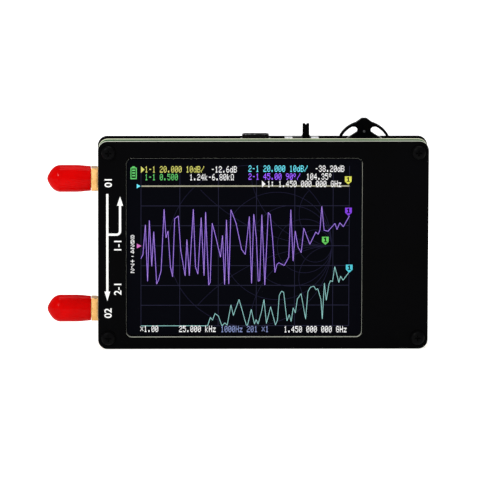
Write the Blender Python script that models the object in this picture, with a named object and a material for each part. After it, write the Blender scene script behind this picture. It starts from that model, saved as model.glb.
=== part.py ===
"""Pocket antenna analyzer: a sandwich of three circuit boards on standoffs.

The device stands on the lower edges of its boards. X runs to the right of someone who
looks at the screen, Y runs away from them, and Z runs up. The origin is in the middle
of the main board's lower edge. All lengths are in metres.
"""

import math
from collections import namedtuple

import bmesh
import bpy
from mathutils import Vector

# Clearances shared by all pieces
SEAT = 0.0001  # between two flat pieces that rest on each other
CLEAR = 0.00025  # between a piece and the pocket or hole that it sits in
RUNNING = 0.00006  # between a pin and the bore that turns on it
OVERRUN = 0.001  # how far a cutting tool passes the faces that it cuts

# Number of flat faces round a turned piece
ROUND_STEPS = 24
FINE_STEPS = 32
SMALL_STEPS = 16
CORNER_STEPS = 5
SHARP_DEGREES = 35  # edges that turn more than this stay sharp

# Boards
BOARD_WIDTH = 0.110
BOARD_HEIGHT = 0.070
BOARD_CORNER = 0.0032
PANEL_THICKNESS = 0.0016
MAIN_THICKNESS = 0.0016
MAIN_SIDE_INSET = 0.0002
FRONT_GAP = 0.0034
REAR_GAP = 0.0050

# Screws, spacers and standoffs
SCREW_SIDE_INSET = 0.0034
SCREW_EDGE_INSET = 0.0038
SCREW_RADIUS = 0.00125
SCREW_HEAD_RADIUS = 0.00235
SCREW_HEAD_HEIGHT = 0.0016
SCREW_RECESS_DEPTH = 0.0009
SCREW_RECESS_REACH = 0.0013
SCREW_RECESS_WIDTH = 0.0006
RECESS_FLOOR_SHARE = 0.62
HEAD_EDGE_SHARE = 0.35
HEAD_CROWN_SHARES = ((0.94, 0.62), (0.78, 0.86), (0.5, 0.98))
SCREW_TIP_GAP = 0.0010  # between two screws that meet inside a rear standoff
SPACER_RADIUS = 0.0023
STANDOFF_ACROSS_CORNERS = 0.0050
STANDOFF_SIDES = 6

# Window in the front panel and the display behind it
WINDOW_LEFT_MARGIN = 0.0094
WINDOW_RIGHT_MARGIN = 0.0221
WINDOW_TOP_MARGIN = 0.0057
WINDOW_BOTTOM_MARGIN = 0.0040
WINDOW_CORNER = 0.0019
GLASS_LAP = 0.0014
GLASS_THICKNESS = 0.0008
DISPLAY_LAP = 0.0009
DISPLAY_TAPE_THICKNESS = 0.0003
DISPLAY_TAPE_INSET = 0.0040
FLEX_REACH = 0.0100
FLEX_HEIGHT = 0.0200
FLEX_THICKNESS = 0.0003

# Antenna jacks on the left edge
JACK_TOP_INSET = 0.01345
JACK_BOTTOM_INSET = 0.0127
JACK_FLANGE_HEIGHT = 0.0076
JACK_FLANGE_THICKNESS = 0.0019
JACK_EDGE_GAP = 0.0003
JACK_THREAD_RADIUS = 0.003175
JACK_BARREL_LENGTH = 0.0095
JACK_CHAMFER = 0.0004
JACK_LEG_LENGTH = 0.0044
JACK_LEG_WIDTH = 0.0011
JACK_LEG_THICKNESS = 0.00095
INSULATOR_RADIUS = 0.0021
INSULATOR_RECESS = 0.0003
CONTACT_RADIUS = 0.000635
CONTACT_BORE_RADIUS = 0.00047
CONTACT_BORE_DEPTH = 0.0030
CONTACT_TAIL_RADIUS = 0.00038
CONTACT_TAIL_LENGTH = 0.0030

# Soft caps pushed over the jacks
CAP_WALL = 0.00108
CAP_MOUTH_WALL = 0.0007
CAP_FREE_LENGTH = 0.0011  # straight bore past the jack's end
CAP_BORE_NOSE_LENGTH = 0.0020
CAP_BORE_NOSE_SHARE = 0.45
CAP_TIP_WALL = 0.0020
CAP_NOSE_LENGTH = 0.0042
CAP_TAPER_SHARE = 0.42
CAP_NOSE_SHARES = ((0.0, 0.975), (0.24, 0.93), (0.43, 0.81), (0.61, 0.66), (0.80, 0.46), (0.93, 0.27))

# Charging socket on the top edge
USB_FROM_RIGHT = 0.0575
USB_WIDTH = 0.00894
USB_DEPTH = 0.00316
USB_LENGTH = 0.0074
USB_PROUD = 0.0014
USB_WALL = 0.0003
USB_EAR_WIDTH = 0.0005
USB_EAR_LENGTH = 0.0016
USB_EAR_DEPTH = 0.0022
TONGUE_WIDTH = 0.0067
TONGUE_THICKNESS = 0.0007
TONGUE_INSET = 0.0008
TONGUE_ROOT_LENGTH = 0.0016

# Power switch on the top edge
SWITCH_FROM_RIGHT = 0.0421
SWITCH_WIDTH = 0.0114
SWITCH_DEPTH = 0.0038
SWITCH_HEIGHT = 0.0046
SWITCH_PROUD = 0.0003
SWITCH_WALL = 0.00035
SWITCH_TRAVEL = 0.0028
SLIDER_HEIGHT = 0.0011
LEVER_WIDTH = 0.0022
LEVER_DEPTH = 0.0015
LEVER_REACH = 0.0045  # above the switch shell
LEVER_NOTCH_DEPTH = 0.0005
LEVER_NOTCH_SHARE = 0.30
LEVER_FOOT_WIDTH = 0.0030
LEVER_FOOT_HEIGHT = 0.0008

# Thumb rocker on the top edge
JOG_FROM_RIGHT = 0.0213
JOG_PIVOT_DROP = 0.0039  # below the boards' top edge
JOG_RIM_RADIUS = 0.0094
JOG_RIM_THICKNESS = 0.0008
JOG_RIM_DEGREES = 61.0
JOG_RIM_STEPS = 9
JOG_HUMP_HEIGHT = 0.0010
JOG_HUMP_HALF_TOP = 0.0008
JOG_HUMP_HALF_FOOT = 0.0027
JOG_WEB_HEIGHT = 0.0076  # from the pivot to the lower edge of the web under the rim
JOG_STEM_HALF_WIDTH = 0.0022
JOG_EYE_RADIUS = 0.00115
JOG_EYE_DEGREES = 130.0
JOG_SKIRT_DEGREES = 56.0
JOG_SKIRT_THICKNESS = 0.0015
JOG_TONGUE_HALF_WIDTH = 0.0018
JOG_TONGUE_THICKNESS = 0.0011
JOG_LEVER_THICKNESS = 0.0026
JOG_PIN_RADIUS = 0.0005
JOG_BASE_WIDTH = 0.0092
JOG_BASE_TOP = 0.0013  # above the pivot
JOG_BASE_DROP = 0.0055  # below the pivot
JOG_BASE_FLOOR = 0.0010
JOG_CARRIER_WIDTH = 0.0054
JOG_CARRIER_THICKNESS = 0.0031
JOG_CARRIER_TOP = 0.0020  # above the pivot
JOG_CARRIER_DROP = 0.0034  # below the pivot
JOG_PRESS_TRAVEL = 0.0005
JOG_TILT_DEGREES = 13.0

# Battery and its lead
BATTERY_LEFT_MARGIN = 0.0270
BATTERY_BOTTOM_MARGIN = 0.0060
BATTERY_WIDTH = 0.0460
BATTERY_TOP_MARGIN = 0.0320
BATTERY_SWELL_GAP = 0.0004  # left free behind the pouch
BATTERY_EDGE = 0.0009
BATTERY_TAPE_THICKNESS = 0.0002
BATTERY_TAPE_WIDTH = 0.0300
BATTERY_TAPE_HEIGHT = 0.0200
LEAD_RADIUS = 0.0005
LEAD_SPREAD = 0.0020
LEAD_RUN = 0.0090
LEAD_DROP = 0.0110
LEAD_TAB_DROP = 0.0050  # from the battery's top edge to the upper lead
LEAD_POINTS = 14
LEAD_APART_SHARE = 0.3  # how much later the upper lead turns down than the lower one
PLUG_LENGTH = 0.0045
PLUG_HEIGHT = 0.0048
PLUG_DEPTH = 0.0024
SOCKET_LENGTH = 0.0062
SOCKET_WALL = 0.0004

# Chips and cans on the back of the main board
CAN_SIDE = 0.0120
CAN_DEPTH = 0.0022
CAN_WALL = 0.0003
CAN_LEFT_MARGIN = 0.0090
CHIP_THICKNESS = 0.0012
PROCESSOR_SIDE = 0.0070
PROCESSOR_FROM_RIGHT = 0.0380
PROCESSOR_FROM_TOP = 0.0195
SYNTHESIZER_SIDE = 0.0040
SYNTHESIZER_FROM_LEFT = 0.0300
SYNTHESIZER_FROM_TOP = 0.0150
CRYSTAL_WIDTH = 0.0032
CRYSTAL_HEIGHT = 0.0025
CRYSTAL_FROM_LEFT = 0.0365
CHARGER_SIDE = 0.0030
CHARGER_FROM_RIGHT = 0.0500
CHARGER_FROM_TOP = 0.0120
LED_WIDTH = 0.0016
LED_HEIGHT = 0.0010
LED_THICKNESS = 0.0007
LED_FROM_RIGHT = 0.0310
LED_FROM_TOP = 0.0032
LED_PITCH = 0.0026

# Places worked out from the sizes above
MAIN_BACK_Y = MAIN_THICKNESS / 2
MAIN_FRONT_Y = -MAIN_THICKNESS / 2
FRONT_PANEL_BACK_Y = MAIN_FRONT_Y - FRONT_GAP
FRONT_PANEL_FRONT_Y = FRONT_PANEL_BACK_Y - PANEL_THICKNESS
BACK_PANEL_FRONT_Y = MAIN_BACK_Y + REAR_GAP
BACK_PANEL_BACK_Y = BACK_PANEL_FRONT_Y + PANEL_THICKNESS
PARTS_Y = MAIN_BACK_Y + SEAT  # what stands on the back of the main board starts here
LEFT_X = -BOARD_WIDTH / 2
RIGHT_X = BOARD_WIDTH / 2
WINDOW_WIDTH = BOARD_WIDTH - WINDOW_LEFT_MARGIN - WINDOW_RIGHT_MARGIN
WINDOW_HEIGHT = BOARD_HEIGHT - WINDOW_TOP_MARGIN - WINDOW_BOTTOM_MARGIN
WINDOW_X = (WINDOW_LEFT_MARGIN - WINDOW_RIGHT_MARGIN) / 2
WINDOW_Z = (BOARD_HEIGHT + WINDOW_BOTTOM_MARGIN - WINDOW_TOP_MARGIN) / 2
GLASS_BACK_Y = FRONT_PANEL_BACK_Y + SEAT + GLASS_THICKNESS
DISPLAY_TAPE_FRONT_Y = MAIN_FRONT_Y - SEAT - DISPLAY_TAPE_THICKNESS
JACK_Y = PARTS_Y + CONTACT_TAIL_RADIUS
JACK_FACE_X = LEFT_X - JACK_EDGE_GAP - JACK_FLANGE_THICKNESS
JACK_FLANGE_DEPTH = 2 * (JACK_Y - MAIN_FRONT_Y + SEAT + JACK_LEG_THICKNESS)
SCREW_GRIP = (REAR_GAP - SCREW_TIP_GAP) / 2  # thread inside the rear standoff
CAP_BORE_RADIUS = JACK_THREAD_RADIUS + CLEAR
CAP_BORE_LENGTH = JACK_BARREL_LENGTH + CAP_FREE_LENGTH + CAP_BORE_NOSE_LENGTH
CAP_LENGTH = CAP_BORE_LENGTH + CAP_TIP_WALL
JACK_HEIGHTS = (BOARD_HEIGHT - JACK_TOP_INSET, JACK_BOTTOM_INSET)
BATTERY_HEIGHT = BOARD_HEIGHT - BATTERY_TOP_MARGIN - BATTERY_BOTTOM_MARGIN
SOCKET_HEIGHT = PLUG_HEIGHT + 2 * (CLEAR + SOCKET_WALL)
SOCKET_DEPTH = PLUG_DEPTH + 2 * (CLEAR + SOCKET_WALL)

Place = namedtuple("Place", "x z")
SCREW_PLACES = [
    Place(side * (RIGHT_X - SCREW_SIDE_INSET), height)
    for height in (BOARD_HEIGHT - SCREW_EDGE_INSET, SCREW_EDGE_INSET)
    for side in (-1, 1)
]


def remove_old_objects():
    """Empties the scene before the model is built."""
    for old in list(bpy.data.objects):
        bpy.data.objects.remove(old)


def finish(name, colour, roughness, metallic=0.0):
    """A Principled material of one colour, made once for each name."""
    material = bpy.data.materials.get(name) or bpy.data.materials.new(name)
    material.use_nodes = True
    shader = material.node_tree.nodes["Principled BSDF"]
    shader.inputs["Base Color"].default_value = (*colour, 1.0)
    shader.inputs["Roughness"].default_value = roughness
    shader.inputs["Metallic"].default_value = metallic
    return material


def black_panel():
    return finish("black_panel", (0.012, 0.012, 0.013), 0.45)


def green_board():
    return finish("green_board", (0.03, 0.16, 0.06), 0.5)


def black_plastic():
    return finish("black_plastic", (0.015, 0.015, 0.015), 0.5)


def steel():
    return finish("steel", (0.72, 0.72, 0.72), 0.3, 1.0)


def black_steel():
    return finish("black_steel", (0.03, 0.03, 0.03), 0.4, 1.0)


def gold():
    return finish("gold", (0.83, 0.62, 0.26), 0.3, 1.0)


def brass():
    return finish("brass", (0.75, 0.58, 0.30), 0.35, 1.0)


def red_vinyl():
    return finish("red_vinyl", (0.75, 0.0, 0.0), 0.35)


def white_plastic():
    return finish("white_plastic", (0.85, 0.85, 0.82), 0.5)


def adhesive():
    return finish("adhesive", (0.25, 0.25, 0.25), 0.8)


def add_object(name, bm, material, place=(0, 0, 0), turn=(0, 0, 0), parent=None):
    """Makes one sub-part from a bmesh, with its own place and turn."""
    bmesh.ops.recalc_face_normals(bm, faces=bm.faces)
    mesh = bpy.data.meshes.new(name)
    bm.to_mesh(mesh)
    bm.free()
    mesh.materials.append(material)
    return add_copy(name, mesh, place, turn, parent)


def add_copy(name, mesh, place, turn=(0, 0, 0), parent=None):
    """Adds an object that shows a mesh, which other objects may share."""
    made = bpy.data.objects.new(name, mesh)
    bpy.context.scene.collection.objects.link(made)
    made.parent = parent
    made.location = place
    made.rotation_euler = turn
    return made


def shade_round(made):
    """Shades the round faces smooth and keeps the corners sharp."""
    made.data.shade_smooth()
    made.data.set_sharp_from_angle(angle=math.radians(SHARP_DEGREES))
    return made


def add_joint_empty(name, place, parent=None):
    """Adds an empty on a joint's axis, to carry the pieces that move with it."""
    empty = bpy.data.objects.new(name, None)
    bpy.context.scene.collection.objects.link(empty)
    empty.parent = parent
    empty.location = place
    return empty


def combine(solid, tool, operation):
    """Cuts a tool out of a solid, or joins it to the solid, and removes the tool."""
    bpy.context.view_layer.update()
    step = solid.modifiers.new("combine", "BOOLEAN")
    step.operation = operation
    step.solver = "EXACT"
    step.object = tool
    seen = solid.evaluated_get(bpy.context.evaluated_depsgraph_get())
    result = bpy.data.meshes.new_from_object(seen)
    solid.modifiers.clear()
    solid.data = result
    bpy.data.objects.remove(tool)
    return solid


def cut(solid, bm, place=(0, 0, 0), turn=(0, 0, 0)):
    """Cuts a bmesh shape out of a solid."""
    tool = add_object("tool", bm, solid.data.materials[0], place, turn)
    return combine(solid, tool, "DIFFERENCE")


def fuse(solid, bm, place=(0, 0, 0), turn=(0, 0, 0)):
    """Joins a bmesh shape to a solid that it overlaps."""
    tool = add_object("tool", bm, solid.data.materials[0], place, turn)
    return combine(solid, tool, "UNION")


def block(width, depth, height):
    """A box of that size about the origin, along X, Y and Z."""
    bm = bmesh.new()
    bmesh.ops.create_cube(bm, size=1.0)
    bmesh.ops.scale(bm, vec=(width, depth, height), verts=bm.verts)
    return bm


def prism(outline, thickness):
    """An outline of (x, z) points, pulled out along Y on both sides of the origin."""
    bm = bmesh.new()
    face = bm.faces.new([bm.verts.new((x, -thickness / 2, z)) for x, z in outline])
    pulled = bmesh.ops.extrude_face_region(bm, geom=[face])["geom"]
    moved = [item for item in pulled if isinstance(item, bmesh.types.BMVert)]
    bmesh.ops.translate(bm, vec=(0, thickness, 0), verts=moved)
    return bm


def turned(profile, steps, closed=False):
    """A profile of (radius, height) points spun about Z. A closed profile makes a ring."""
    bm = bmesh.new()
    verts = [bm.verts.new((radius, 0, height)) for radius, height in profile]
    pairs = list(zip(verts, verts[1:]))
    if closed:
        pairs.append((verts[-1], verts[0]))
    edges = [bm.edges.new(pair) for pair in pairs]
    bmesh.ops.spin(bm, geom=verts + edges, cent=(0, 0, 0), axis=(0, 0, 1),
                   angle=math.tau, steps=steps, use_merge=True)
    bmesh.ops.remove_doubles(bm, verts=bm.verts, dist=SEAT / 100)
    return bm


def cylinder(radius, low, high, steps=SMALL_STEPS):
    """A plain cylinder about Z between two heights."""
    return turned([(0, low), (radius, low), (radius, high), (0, high)], steps)


def arc(radius, from_degrees, to_degrees, steps, centre=(0, 0)):
    """Points on an arc. Degrees are measured from straight up, clockwise."""
    turn = (to_degrees - from_degrees) / steps
    angles = [math.radians(from_degrees + turn * index) for index in range(steps + 1)]
    return [
        (centre[0] + radius * math.sin(angle), centre[1] + radius * math.cos(angle))
        for angle in angles
    ]


def rounded_rectangle(width, height, corner, steps=CORNER_STEPS):
    """The outline of a rectangle with round corners, about the origin."""
    reach_x, reach_z = width / 2 - corner, height / 2 - corner
    points = []
    for number, (side_x, side_z) in enumerate(((1, 1), (1, -1), (-1, -1), (-1, 1))):
        centre = (side_x * reach_x, side_z * reach_z)
        points += arc(corner, 90 * number, 90 * number + 90, steps, centre)
    return points


ALONG_FRONT = (math.radians(90), 0, 0)  # turns local +Z towards the viewer
ALONG_BACK = (math.radians(-90), 0, 0)  # turns local +Z away from the viewer
ALONG_LEFT = (0, math.radians(-90), 0)  # turns local +Z to the left


def board(name, width, thickness, material, middle_y):
    """One circuit board with its four screw holes."""
    outline = rounded_rectangle(width, BOARD_HEIGHT, BOARD_CORNER)
    made = add_object(name, prism(outline, thickness), material, (0, middle_y, BOARD_HEIGHT / 2))
    reach = thickness / 2 + OVERRUN
    for place in SCREW_PLACES:
        hole = cylinder(SCREW_RADIUS + CLEAR, -reach, reach)
        cut(made, hole, (place.x, middle_y, place.z), ALONG_FRONT)
    return made


def build_boards():
    """The black front and back panels and the green main board between them."""
    front_y = FRONT_PANEL_BACK_Y - PANEL_THICKNESS / 2
    front = board("front_panel", BOARD_WIDTH, PANEL_THICKNESS, black_panel(), front_y)
    window = rounded_rectangle(WINDOW_WIDTH, WINDOW_HEIGHT, WINDOW_CORNER)
    cut(front, prism(window, PANEL_THICKNESS + OVERRUN), (WINDOW_X, front_y, WINDOW_Z))
    board("main_board", BOARD_WIDTH - 2 * MAIN_SIDE_INSET, MAIN_THICKNESS, green_board(), 0)
    back_y = BACK_PANEL_FRONT_Y + PANEL_THICKNESS / 2
    board("back_panel", BOARD_WIDTH, PANEL_THICKNESS, black_panel(), back_y)


def screw_mesh(name, shank_length):
    """A pan head screw with a cross recess, its head's underside at height zero."""
    radius, height = SCREW_HEAD_RADIUS, SCREW_HEAD_HEIGHT
    profile = [(0, -shank_length), (SCREW_RADIUS, -shank_length), (SCREW_RADIUS, 0)]
    profile += [(radius, 0), (radius, height * HEAD_EDGE_SHARE)]
    profile += [(radius * out, height * up) for out, up in HEAD_CROWN_SHARES]
    profile.append((0, height))
    made = shade_round(add_object(name, turned(profile, ROUND_STEPS), black_steel()))
    half, reach = SCREW_RECESS_WIDTH / 2, SCREW_RECESS_REACH
    for width, length in ((half, reach), (reach, half)):
        slot = block(2 * width, 2 * length, SCREW_RECESS_DEPTH + OVERRUN)
        floor = [vert for vert in slot.verts if vert.co.z < 0]
        bmesh.ops.scale(slot, vec=(RECESS_FLOOR_SHARE, RECESS_FLOOR_SHARE, 1), verts=floor)
        cut(made, slot, (0, 0, height + (OVERRUN - SCREW_RECESS_DEPTH) / 2))
    mesh = made.data
    bpy.data.objects.remove(made)
    return mesh


def build_screws():
    """Four long screws from the front and four short ones from the back."""
    long_shank = SEAT + PANEL_THICKNESS + FRONT_GAP + MAIN_THICKNESS + SCREW_GRIP
    short_shank = SEAT + PANEL_THICKNESS + SCREW_GRIP
    front_mesh = screw_mesh("front_screw", long_shank)
    rear_mesh = screw_mesh("rear_screw", short_shank)
    for number, place in enumerate(SCREW_PLACES, start=1):
        front = (place.x, FRONT_PANEL_FRONT_Y - SEAT, place.z)
        rear = (place.x, BACK_PANEL_BACK_Y + SEAT, place.z)
        add_copy(f"front_screw_{number}", front_mesh, front, ALONG_FRONT)
        add_copy(f"rear_screw_{number}", rear_mesh, rear, ALONG_BACK)


def build_spacers():
    """Round spacers in front of the main board and threaded hexagons behind it."""
    bore = SCREW_RADIUS + CLEAR
    half = FRONT_GAP / 2 - SEAT
    ring = [(bore, -half), (SPACER_RADIUS, -half), (SPACER_RADIUS, half), (bore, half)]
    first = add_object("spacer", turned(ring, ROUND_STEPS, closed=True), brass())
    spacer = shade_round(first).data
    bpy.data.objects.remove(first)
    length = REAR_GAP - 2 * SEAT
    last_corner = 360 - 360 / STANDOFF_SIDES
    hexagon = arc(STANDOFF_ACROSS_CORNERS / 2, 0, last_corner, STANDOFF_SIDES - 1)
    second = add_object("standoff", prism(hexagon, length), brass())
    cut(second, cylinder(bore, -length, length), (0, 0, 0), ALONG_FRONT)
    standoff = shade_round(second).data
    bpy.data.objects.remove(second)
    for number, place in enumerate(SCREW_PLACES, start=1):
        front_y = MAIN_FRONT_Y - FRONT_GAP / 2
        rear_y = MAIN_BACK_Y + REAR_GAP / 2
        add_copy(f"front_spacer_{number}", spacer, (place.x, front_y, place.z), ALONG_FRONT)
        add_copy(f"rear_standoff_{number}", standoff, (place.x, rear_y, place.z))


def build_display():
    """The touch glass, the display behind it, its tape and its flat cable."""
    glass_material = finish("screen_glass", (0.01, 0.01, 0.02), 0.15)
    width, height = WINDOW_WIDTH + 2 * GLASS_LAP, WINDOW_HEIGHT + 2 * GLASS_LAP
    glass = rounded_rectangle(width, height, WINDOW_CORNER, steps=2)
    glass_y = GLASS_BACK_Y - GLASS_THICKNESS / 2
    add_object("screen_glass", prism(glass, GLASS_THICKNESS), glass_material,
               (WINDOW_X, glass_y, WINDOW_Z))
    front_y, back_y = GLASS_BACK_Y + SEAT, DISPLAY_TAPE_FRONT_Y - SEAT
    module = block(width + 2 * DISPLAY_LAP, back_y - front_y, height + DISPLAY_LAP)
    add_object("display_module", module, steel(), (WINDOW_X, (front_y + back_y) / 2, WINDOW_Z))
    tape = block(width - DISPLAY_TAPE_INSET, DISPLAY_TAPE_THICKNESS, height - DISPLAY_TAPE_INSET)
    tape_y = DISPLAY_TAPE_FRONT_Y + DISPLAY_TAPE_THICKNESS / 2
    add_object("display_tape", tape, adhesive(), (WINDOW_X, tape_y, WINDOW_Z))
    flex_left = WINDOW_X + width / 2 + DISPLAY_LAP + CLEAR
    flex = block(FLEX_REACH, FLEX_THICKNESS, FLEX_HEIGHT)
    flex_y = MAIN_FRONT_Y - SEAT - FLEX_THICKNESS / 2
    amber = finish("amber_film", (0.55, 0.27, 0.05), 0.4)
    add_object("display_flex", flex, amber, (flex_left + FLEX_REACH / 2, flex_y, WINDOW_Z))


def jack_body():
    """A flange, a threaded barrel and four solder legs, drilled for the insulator.

    Local +Z points out of the jack from the flange's outer face, local X runs up.
    """
    barrel = JACK_BARREL_LENGTH
    made = add_object(
        "jack", block(JACK_FLANGE_HEIGHT, JACK_FLANGE_DEPTH, JACK_FLANGE_THICKNESS), gold(),
        (0, 0, -JACK_FLANGE_THICKNESS / 2),
    )
    bpy.context.view_layer.update()
    made.data.transform(made.matrix_world)
    made.location = (0, 0, 0)
    radius = JACK_THREAD_RADIUS
    profile = [(0, -JACK_FLANGE_THICKNESS / 2), (radius, -JACK_FLANGE_THICKNESS / 2),
               (radius, barrel - JACK_CHAMFER), (radius - JACK_CHAMFER, barrel), (0, barrel)]
    fuse(made, turned(profile, ROUND_STEPS))
    leg_length = JACK_LEG_LENGTH + OVERRUN
    leg_x = (JACK_FLANGE_HEIGHT - JACK_LEG_WIDTH) / 2
    leg_z = -JACK_FLANGE_THICKNESS + OVERRUN - leg_length / 2
    front_leg_y = MAIN_FRONT_Y - SEAT - JACK_LEG_THICKNESS / 2 - JACK_Y
    rear_leg_y = PARTS_Y + JACK_LEG_THICKNESS / 2 - JACK_Y
    for side in (-1, 1):
        for leg_y in (front_leg_y, rear_leg_y):
            leg = block(JACK_LEG_WIDTH, JACK_LEG_THICKNESS, leg_length)
            fuse(made, leg, (side * leg_x, leg_y, leg_z))
    drill = cylinder(INSULATOR_RADIUS + SEAT, -JACK_FLANGE_THICKNESS - OVERRUN,
                     barrel + OVERRUN, ROUND_STEPS)
    cut(made, drill)
    return shade_round(made)


def jack_insulator():
    """The white sleeve that holds the centre contact in the jack."""
    bore = CONTACT_RADIUS + SEAT
    low, high = -JACK_FLANGE_THICKNESS, JACK_BARREL_LENGTH - INSULATOR_RECESS
    ring = [(bore, low), (INSULATOR_RADIUS, low), (INSULATOR_RADIUS, high), (bore, high)]
    return shade_round(add_object("insulator", turned(ring, ROUND_STEPS, closed=True),
                                  white_plastic()))


def jack_contact():
    """The hollow centre contact, with a thin tail that is soldered to the main board."""
    front = JACK_BARREL_LENGTH - INSULATOR_RECESS
    root = -JACK_FLANGE_THICKNESS
    tail = root - SEAT - CONTACT_TAIL_LENGTH
    inside = front - CONTACT_BORE_DEPTH
    profile = [(0, tail), (CONTACT_TAIL_RADIUS, tail), (CONTACT_TAIL_RADIUS, root),
               (CONTACT_RADIUS, root), (CONTACT_RADIUS, front),
               (CONTACT_BORE_RADIUS, front), (CONTACT_BORE_RADIUS, inside), (0, inside)]
    return shade_round(add_object("contact", turned(profile, SMALL_STEPS), gold()))


def cap_mesh():
    """A soft cap with a blunt nose. Its mouth is at height zero."""
    radius = CAP_BORE_RADIUS + CAP_WALL
    shoulder = CAP_LENGTH - CAP_NOSE_LENGTH
    outer = [(CAP_BORE_RADIUS + CAP_MOUTH_WALL, 0), (radius, shoulder * CAP_TAPER_SHARE)]
    outer += [(radius * out, shoulder + CAP_NOSE_LENGTH * along)
              for along, out in CAP_NOSE_SHARES]
    outer.append((0, CAP_LENGTH))
    inner = [(0, CAP_BORE_LENGTH), (CAP_BORE_RADIUS * CAP_BORE_NOSE_SHARE, CAP_BORE_LENGTH),
             (CAP_BORE_RADIUS, CAP_BORE_LENGTH - CAP_BORE_NOSE_LENGTH), (CAP_BORE_RADIUS, 0)]
    return turned(outer + inner + [outer[0]], FINE_STEPS)


def build_jacks():
    """Two antenna jacks on the left edge, each under its own red cap."""
    body, insulator, contact = jack_body(), jack_insulator(), jack_contact()
    cap = shade_round(add_object("cap", cap_mesh(), red_vinyl()))
    meshes = [made.data for made in (body, insulator, contact, cap)]
    for made in (body, insulator, contact, cap):
        bpy.data.objects.remove(made)
    for number, jack_z in enumerate(JACK_HEIGHTS, start=1):
        face = (JACK_FACE_X, JACK_Y, jack_z)
        add_copy(f"antenna_jack_{number}", meshes[0], face, ALONG_LEFT)
        add_copy(f"jack_insulator_{number}", meshes[1], face, ALONG_LEFT)
        add_copy(f"jack_contact_{number}", meshes[2], face, ALONG_LEFT)
        mouth = add_joint_empty(f"cap_pull_{number}", (JACK_FACE_X - SEAT, JACK_Y, jack_z))
        add_copy(f"dust_cap_{number}", meshes[3], (0, 0, 0), ALONG_LEFT, mouth)


def build_usb():
    """The charging socket: a steel shell with side ears and a plastic tongue."""
    usb_x = RIGHT_X - USB_FROM_RIGHT
    usb_y = PARTS_Y + USB_DEPTH / 2
    top_z = BOARD_HEIGHT + USB_PROUD
    middle = (usb_x, usb_y, top_z - USB_LENGTH / 2)
    outline = rounded_rectangle(USB_WIDTH, USB_DEPTH, USB_DEPTH / 2 - SEAT)
    shell = add_object("usb_shell", prism(outline, USB_LENGTH), steel(), middle, ALONG_FRONT)
    ears = block(USB_WIDTH + 2 * USB_EAR_WIDTH, USB_EAR_DEPTH, USB_EAR_LENGTH)
    ear_y = PARTS_Y + USB_EAR_DEPTH / 2
    fuse(shell, ears, (usb_x, ear_y, BOARD_HEIGHT - USB_EAR_LENGTH / 2))
    bore_width, bore_depth = USB_WIDTH - 2 * USB_WALL, USB_DEPTH - 2 * USB_WALL
    bore = rounded_rectangle(bore_width, bore_depth, bore_depth / 2 - SEAT)
    cut(shell, prism(bore, USB_LENGTH + OVERRUN), middle, ALONG_FRONT)
    shade_round(shell)
    root_width, root_depth = bore_width - 2 * SEAT, bore_depth - 2 * SEAT
    root = rounded_rectangle(root_width, root_depth, root_depth / 2 - SEAT)
    bottom_z = top_z - USB_LENGTH
    tongue = add_object("usb_tongue", prism(root, TONGUE_ROOT_LENGTH), black_plastic(),
                        (usb_x, usb_y, bottom_z + TONGUE_ROOT_LENGTH / 2), ALONG_FRONT)
    blade_top = top_z - TONGUE_INSET
    blade_low = bottom_z + TONGUE_ROOT_LENGTH / 2
    blade = block(TONGUE_WIDTH, TONGUE_THICKNESS, blade_top - blade_low)
    fuse(tongue, blade, (usb_x, usb_y, (blade_top + blade_low) / 2))


def lever_outline():
    """The slide switch's stem with its foot and notched tip, up from the shell's top."""
    half, foot = LEVER_WIDTH / 2, LEVER_FOOT_WIDTH / 2
    notch = half * LEVER_NOTCH_SHARE
    right = [(foot, SEAT), (half, LEVER_FOOT_HEIGHT), (half, LEVER_REACH),
             (notch, LEVER_REACH), (0, LEVER_REACH - LEVER_NOTCH_DEPTH)]
    left = [(-x, z) for x, z in reversed(right[:-1])]
    return right + left


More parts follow.
